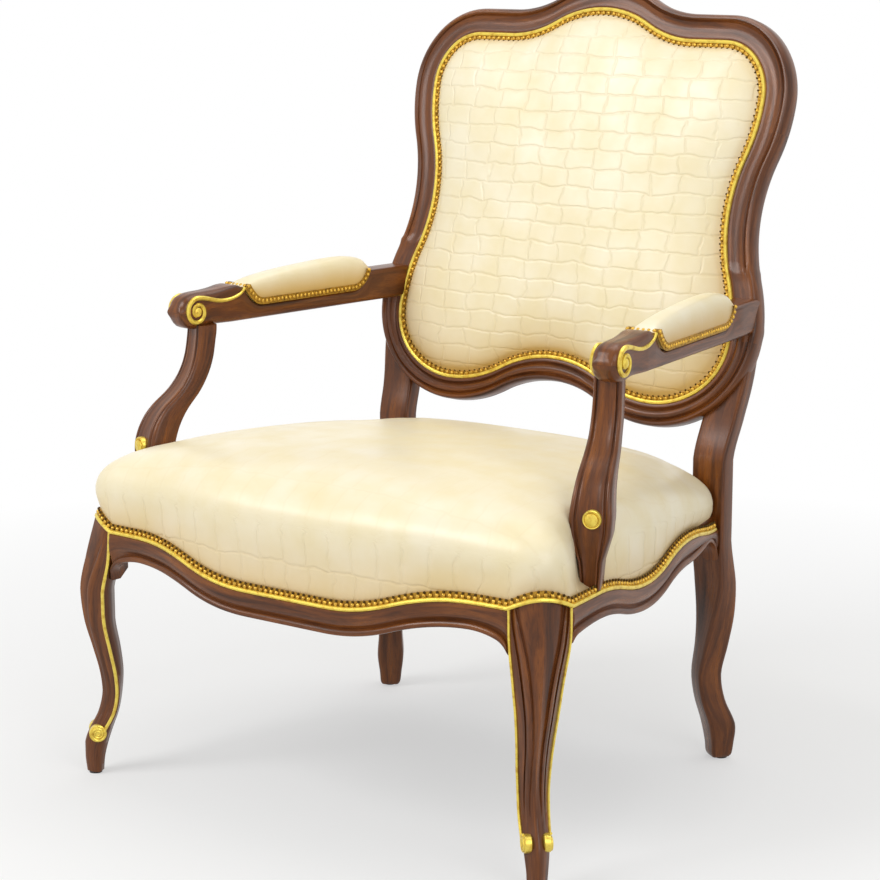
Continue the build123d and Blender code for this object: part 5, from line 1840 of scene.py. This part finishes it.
@dataclass
class ArmPads:
    """Stuffed pads in the scooped beds of the arms."""

    arms: Arms
    half_width: float = 21.5
    top: float = 645.0
    pressure: float = 2.0
    give: float = 3.0

    def rows(self) -> np.ndarray:
        """Shape the right pad, from its rear end to its front end."""
        bed = self.arms.bed_line()
        start, end = self.arms.pad_start, self.arms.pad_end
        knots = np.array(
            ((start, 625.0), (start + 3, 633.0), (start + 14, 641.0), (start + 50, self.top), (start + 110, 643.0),
             (end - 60, 638.0), (end - 22, 632.5), (end - 6, 627.5), (end, 623.0))
        )
        crest = through(knots, 5)
        turn = np.linspace(0.0, math.pi, 17)
        rows = []
        for along, top in crest:
            foot = float(at(bed, along)) + 1.0
            tall = max(top - foot, 0.5)
            reach = abs(along - (start + end) / 2) / ((end - start) / 2)
            half = self.half_width * (1 - 0.12 * reach**12)
            across = half * np.sign(np.cos(turn)) * np.abs(np.cos(turn)) ** 0.62
            height = foot + tall * np.sin(turn) ** 0.8
            under = np.linspace(-half, half, 7)[1:-1] * 0.96
            acrosses = np.concatenate((across, under))
            heights = np.concatenate((height, np.full(len(under), foot - 0.6)))
            rows.append(self.arms.place(np.full(len(acrosses), along), acrosses, heights))
        return np.stack(rows)

    def build(self, finishes: Finishes) -> None:
        """Make both pads.

        Args:
            finishes: Materials of the chair.
        """
        shape = self.rows()
        for side in Side:
            draft = MeshDraft()
            draft.grid(side.turn(shape))
            piece = draft.build(f"{side.node('arm_cover')}_look", finishes.smooth, crease=80.0)
            # Painted golden-tan shade on the pad's lower flanks and underside, fading to cream on top.
            flank_shade = [1.0, 0.85, 0.6, 0.36, 0.16]
            across = np.array(flank_shade + [0.03] * 7 + flank_shade[::-1] + [0.6] * 5)
            values = np.concatenate((np.tile(across, len(shape)), (0.4, 0.4)))
            held = np.array([0.0, 0.4, 0.8] + [1.0] * 11 + [0.8, 0.4, 0.0] + [0.0] * 5)
            free = np.concatenate((np.tile(held, len(shape)), (0.0, 0.0)))
            stuff(piece, values, free, self.pressure, self.give)
            nodes = (side.node("arm_cover"), side.node("arm_foam"))
            hand_in(piece, "leather", *nodes)


@dataclass
class Trim:
    """Gilt bead, braid and nail heads along every leather edge, with dark dots that paint the shade in the braid's
    slots.
    """

    seat: SeatPlan
    back: BackPlan
    arms: Arms
    bead: float = 2.9
    nail: float = 2.9
    # Radius of the dark dots that paint the shade in the braid's slots.
    slot_shade_dot: float = 1.7
    step: float = 8.4
    arm_nail: float = 2.7
    arm_step: float = 7.2

    def seat_line(self, grow: float, rise: float) -> np.ndarray:
        """Run a line round the seat from one rear post to the other, at a rise over the nail line."""
        half = self.seat.half(grow, per_arc=14)
        half = half[half[:, 1] < self.seat.post_front - 1]
        line = np.vstack((half[:0:-1] * (-1, 1), half))
        return np.column_stack((line, self.seat.nail_height(line) + rise))

    def rear_line(self, grow: float, rise: float) -> np.ndarray:
        """Run a line along the rear rail from post to post, at a rise over the nail line."""
        x = np.linspace(1 - self.seat.post_inner, self.seat.post_inner - 1, 24)
        line = np.column_stack((x, np.full(24, self.seat.rear + grow)))
        return np.column_stack((line, self.seat.nail_height(line) + rise))

    def back_line(self, grow: float, depth: float) -> np.ndarray:
        """Run a closed line round the back, at a depth in front of its plane."""
        return self.back.world(mirrored_loop(self.back.half(grow, 12)), depth)

    def arm_line(self, rise: float, out: float) -> np.ndarray:
        """Run a closed line round the right arm pad, at a rise over its bed."""
        bed = self.arms.bed_line()
        lean = np.gradient(bed, axis=0)
        lean /= np.linalg.norm(lean, axis=1)[:, None]
        line = bed + rise * np.column_stack((-lean[:, 1], lean[:, 0]))
        half = np.full(len(line), self.arms.half_width + out)
        right = self.arms.place(line[:, 0], half, line[:, 1])
        left = self.arms.place(line[::-1, 0], -half, line[::-1, 1])
        return np.vstack((right, left))

    def strip(
        self, draft: MeshDraft, first: np.ndarray, second: np.ndarray, out: np.ndarray, closed: bool = True
    ) -> None:
        """Add a flat strip between two lines.

        Args:
            draft: Mesh that gets the strip.
            first: Points of one edge.
            second: Points of the other edge.
            out: Thickness of the strip at each point, as a vector.
            closed: Join the ends of the strip.
        """
        rows = np.stack((first, first + out * 0.7, (first + second) / 2 + out, second + out * 0.7, second), axis=1)
        draft.grid(rows, closed_rows=closed)

    def build(self, finishes: Finishes, nails: NailRow) -> None:
        """Make the trim of the seat, the back and the arms.

        Args:
            finishes: Materials of the chair.
            nails: Maker of nail rows.
        """
        seat, bead = MeshDraft(), MeshDraft()
        up = np.array((0.0, 0.0, 1.0))
        for line in (self.seat_line, self.rear_line):
            flat = line(-4.0, 0.0) - line(-6.0, 0.0)
            self.strip(seat, line(-5.6, 1.0), line(-5.6, 11.0), flat, closed=False)
            bead.tube(line(-1.6, 1.6), self.bead, up)
        hand_in(seat.build("seat_braid_look", finishes.braid), "gilt_trim", "seat_braid")
        hand_in(bead.build("seat_bead", finishes.gilt), "gilt_trim")
        # Brass heads, and a row of dark dots that paints the shade in the braid's slots.
        for name, grow, rise, radius, finish in (
            ("seat_nails", -3.2, 6.4, self.nail, finishes.brass),
            ("seat_slot_shade_dots", -3.4, 10.4, self.slot_shade_dot, finishes.slot_shade),
        ):
            lines = [(self.seat_line(grow, rise), False), (self.rear_line(grow, rise), False)]
            hand_in(nails.lay(name, lines, self.step, radius, finish), "gilt_trim")

        facing = self.back.facing()
        back = MeshDraft()
        self.strip(back, self.back_line(-4.6, -3.6), self.back_line(-13.0, -2.6), facing * 1.8)
        self.strip(back, self.back_line(-4.6, -25.6), self.back_line(-13.0, -25.6), -facing * 1.8)
        hand_in(back.build("back_braid_look", finishes.braid), "gilt_trim", "back_braid")
        bead = MeshDraft()
        bead.tube(self.back_line(-4.4, -0.8), self.bead, facing, closed=True)
        hand_in(bead.build("back_bead", finishes.gilt), "gilt_trim")
        # Brass heads, and a row of dark dots that paints the shade in the braid's slots.
        for name, grow, rise, radius, finish in (
            ("back_nails", -9.4, 0.0, self.nail, finishes.brass),
            ("back_slot_shade_dots", -13.2, -0.2, self.slot_shade_dot, finishes.slot_shade),
        ):
            lines = [(self.back_line(grow, rise - 1.0), True), (self.back_line(grow, -27.0 - rise), True)]
            hand_in(nails.lay(name, lines, self.step, radius, finish), "gilt_trim")

        for side in Side:
            arm = MeshDraft()
            upper, lower = side.turn(self.arm_line(9.0, 2.8)), side.turn(self.arm_line(-0.5, 0.6))
            spread = side.turn(self.arm_line(3.0, 1.8)) - side.turn(self.arm_line(3.0, 0.2))
            self.strip(arm, lower, upper, spread)
            node = side.node("arm_braid")
            hand_in(arm.build(f"{node}_look", finishes.braid), "gilt_trim", node)
            lines = [(side.turn(self.arm_line(4.4, 3.0)), True)]
            row = nails.lay(side.node("arm_nails"), lines, self.arm_step, self.arm_nail, finishes.brass)
            hand_in(row, "gilt_trim")


@dataclass
class Studio:
    """Pale floor, soft light and the camera of the photo."""

    target: tuple[float, float, float] = (8.0, -58.0, 448.0)
    azimuth: float = 36.45
    elevation: float = 11.68
    distance: float = 3305.0
    lens: float = 104.24
    sensor: float = 36.0

    def camera(self) -> None:
        """Set the camera at the photo's viewing angle."""
        data = bpy.data.cameras.new("camera")
        data.lens = self.lens
        data.sensor_width = self.sensor
        data.sensor_fit = "HORIZONTAL"
        camera = bpy.data.objects.new("camera", data)
        bpy.context.scene.collection.objects.link(camera)
        turn, lift = math.radians(self.azimuth), math.radians(self.elevation)
        away = np.array((math.sin(turn) * math.cos(lift), -math.cos(turn) * math.cos(lift), math.sin(lift)))
        camera.location = (np.array(self.target) + away * self.distance) * MM
        camera.rotation_euler = (math.pi / 2 - lift, 0.0, turn)
        bpy.context.scene.camera = camera

    def floor(self) -> None:
        """Lay a pale floor that fades into the white background."""
        material, tree, shader = start_material("pale_studio_floor")
        shader.inputs["Base Color"].default_value = linear("#EDEDEC")
        shader.inputs["Roughness"].default_value = 0.8
        place = add_node(tree, "ShaderNodeTexCoord").outputs["Object"]
        far = add_node(tree, "ShaderNodeVectorMath", {0: place}, operation="LENGTH")
        fade = add_node(
            tree,
            "ShaderNodeMapRange",
            {"Value": far.outputs["Value"], "From Min": 0.6, "From Max": 1.7, "To Min": 0.5},
        )
        glow = add_node(tree, "ShaderNodeEmission", {"Color": (1.0, 1.0, 1.0, 1.0), "Strength": 1.0})
        rays = add_node(tree, "ShaderNodeLightPath")
        seen = add_node(
            tree,
            "ShaderNodeMath",
            {0: rays.outputs["Is Camera Ray"], 1: rays.outputs["Is Glossy Ray"]},
            operation="MAXIMUM",
        )
        share = add_node(
            tree, "ShaderNodeMath", {0: seen.outputs[0], 1: fade.outputs["Result"]}, operation="MULTIPLY"
        )
        mix = add_node(
            tree, "ShaderNodeMixShader", {0: share.outputs[0], 1: shader.outputs["BSDF"], 2: glow.outputs["Emission"]}
        )
        tree.links.new(mix.outputs[0], tree.nodes["Material Output"].inputs["Surface"])
        size = 6.0
        mesh = bpy.data.meshes.new("floor")
        mesh.from_pydata([(-size, -size, 0), (size, -size, 0), (size, size, 0), (-size, size, 0)], [], [(0, 1, 2, 3)])
        mesh.materials.append(material)
        floor = bpy.data.objects.new("floor", mesh)
        bpy.context.scene.collection.objects.link(floor)

    def lamp(self, name: str, place: tuple[float, float, float], size: float, power: float) -> None:
        """Hang a square soft lamp that points at the chair.

        Args:
            name: Name of the lamp.
            place: Place of the lamp in metres.
            size: Side of the lamp in metres.
            power: Power of the lamp in watts.
        """
        data = bpy.data.lights.new(name, "AREA")
        data.size = size
        data.energy = power
        lamp = bpy.data.objects.new(name, data)
        bpy.context.scene.collection.objects.link(lamp)
        lamp.location = place
        aim = np.array((0.0, -0.05, 0.5)) - np.array(place)
        flat = math.hypot(aim[0], aim[1])
        lamp.rotation_euler = (math.atan2(flat, -aim[2]), 0.0, math.atan2(aim[1], aim[0]) - math.pi / 2)

    def light(self) -> None:
        """Light the chair softly from above, the left and the right."""
        scene = bpy.context.scene
        scene.view_settings.view_transform = "Standard"
        world = bpy.data.worlds.new("studio")
        scene.world = world
        world.use_nodes = True
        tree = world.node_tree
        tree.nodes.clear()
        rays = add_node(tree, "ShaderNodeLightPath")
        seen = add_node(
            tree,
            "ShaderNodeMath",
            {0: rays.outputs["Is Camera Ray"], 1: rays.outputs["Is Transmission Ray"]},
            operation="MAXIMUM",
        )
        seen = add_node(
            tree, "ShaderNodeMath", {0: seen.outputs[0], 1: rays.outputs["Is Glossy Ray"]}, operation="MAXIMUM"
        )
        white = add_node(tree, "ShaderNodeBackground", {"Color": (1.0, 1.0, 1.0, 1.0), "Strength": 1.0})
        soft = add_node(tree, "ShaderNodeBackground", {"Color": linear("#F8F7F4"), "Strength": 0.4})
        mix = add_node(tree, "ShaderNodeMixShader", {0: seen.outputs[0], 1: soft.outputs[0], 2: white.outputs[0]})
        add_node(tree, "ShaderNodeOutputWorld", {"Surface": mix.outputs[0]})
        self.lamp("key", (-1.3, -2.4, 2.6), 1.6, 58.0)
        self.lamp("fill", (2.6, -1.2, 1.7), 1.8, 24.0)
        self.lamp("top", (0.2, 0.6, 3.0), 2.0, 26.0)

    def build(self) -> None:
        """Set up the studio."""
        self.camera()
        self.floor()
        self.light()


def dress_kept_nodes(frame: dict, finishes: Finishes) -> None:
    """Give the CAD nodes that stay in view their materials.

    Args:
        frame: The loaded frame.
        finishes: Materials of the chair.
    """
    kept = {
        "dust_cover": finishes.cloth,
        "corner_blocks": finishes.beech,
        "crest_dowels": finishes.beech,
        "arm_dowels": finishes.beech,
        "corner_screws": finishes.steel,
        "arm_screws": finishes.steel,
        "arm_post_bolts": finishes.steel,
        "foot_glides": finishes.glide,
        "seat_webbing_long": finishes.jute,
        "back_webbing_long": finishes.jute,
        "back_webbing_cross": finishes.jute,
    }
    for name, finish in kept.items():
        mesh = frame["nodes"][name].data
        mesh.materials.clear()
        mesh.materials.append(finish)
        LOG.info("dressed %s", name)


def main() -> None:
    """Build the chair piece by piece around the frame."""
    logging.basicConfig(level=logging.INFO, format="%(name)s: %(message)s")
    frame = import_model()
    finishes = Finishes()
    seat, back, arms = SeatPlan(), BackPlan(), Arms()
    ring = BackFrame(back)
    dress_kept_nodes(frame, finishes)
    ring.build(finishes)
    RearPosts(back, ring).build(finishes)
    FrontLegs().build(finishes)
    SeatRails(seat).build(finishes)
    arms.build(finishes)
    SeatWebbing(seat).build(finishes)
    SeatCushion(seat).build(finishes)
    BackCushion(back).build(finishes)
    ArmPads(arms).build(finishes)
    Trim(seat, back, arms).build(finishes, NailRow())
    Studio().build()


if __name__ == "__main__":
    main()
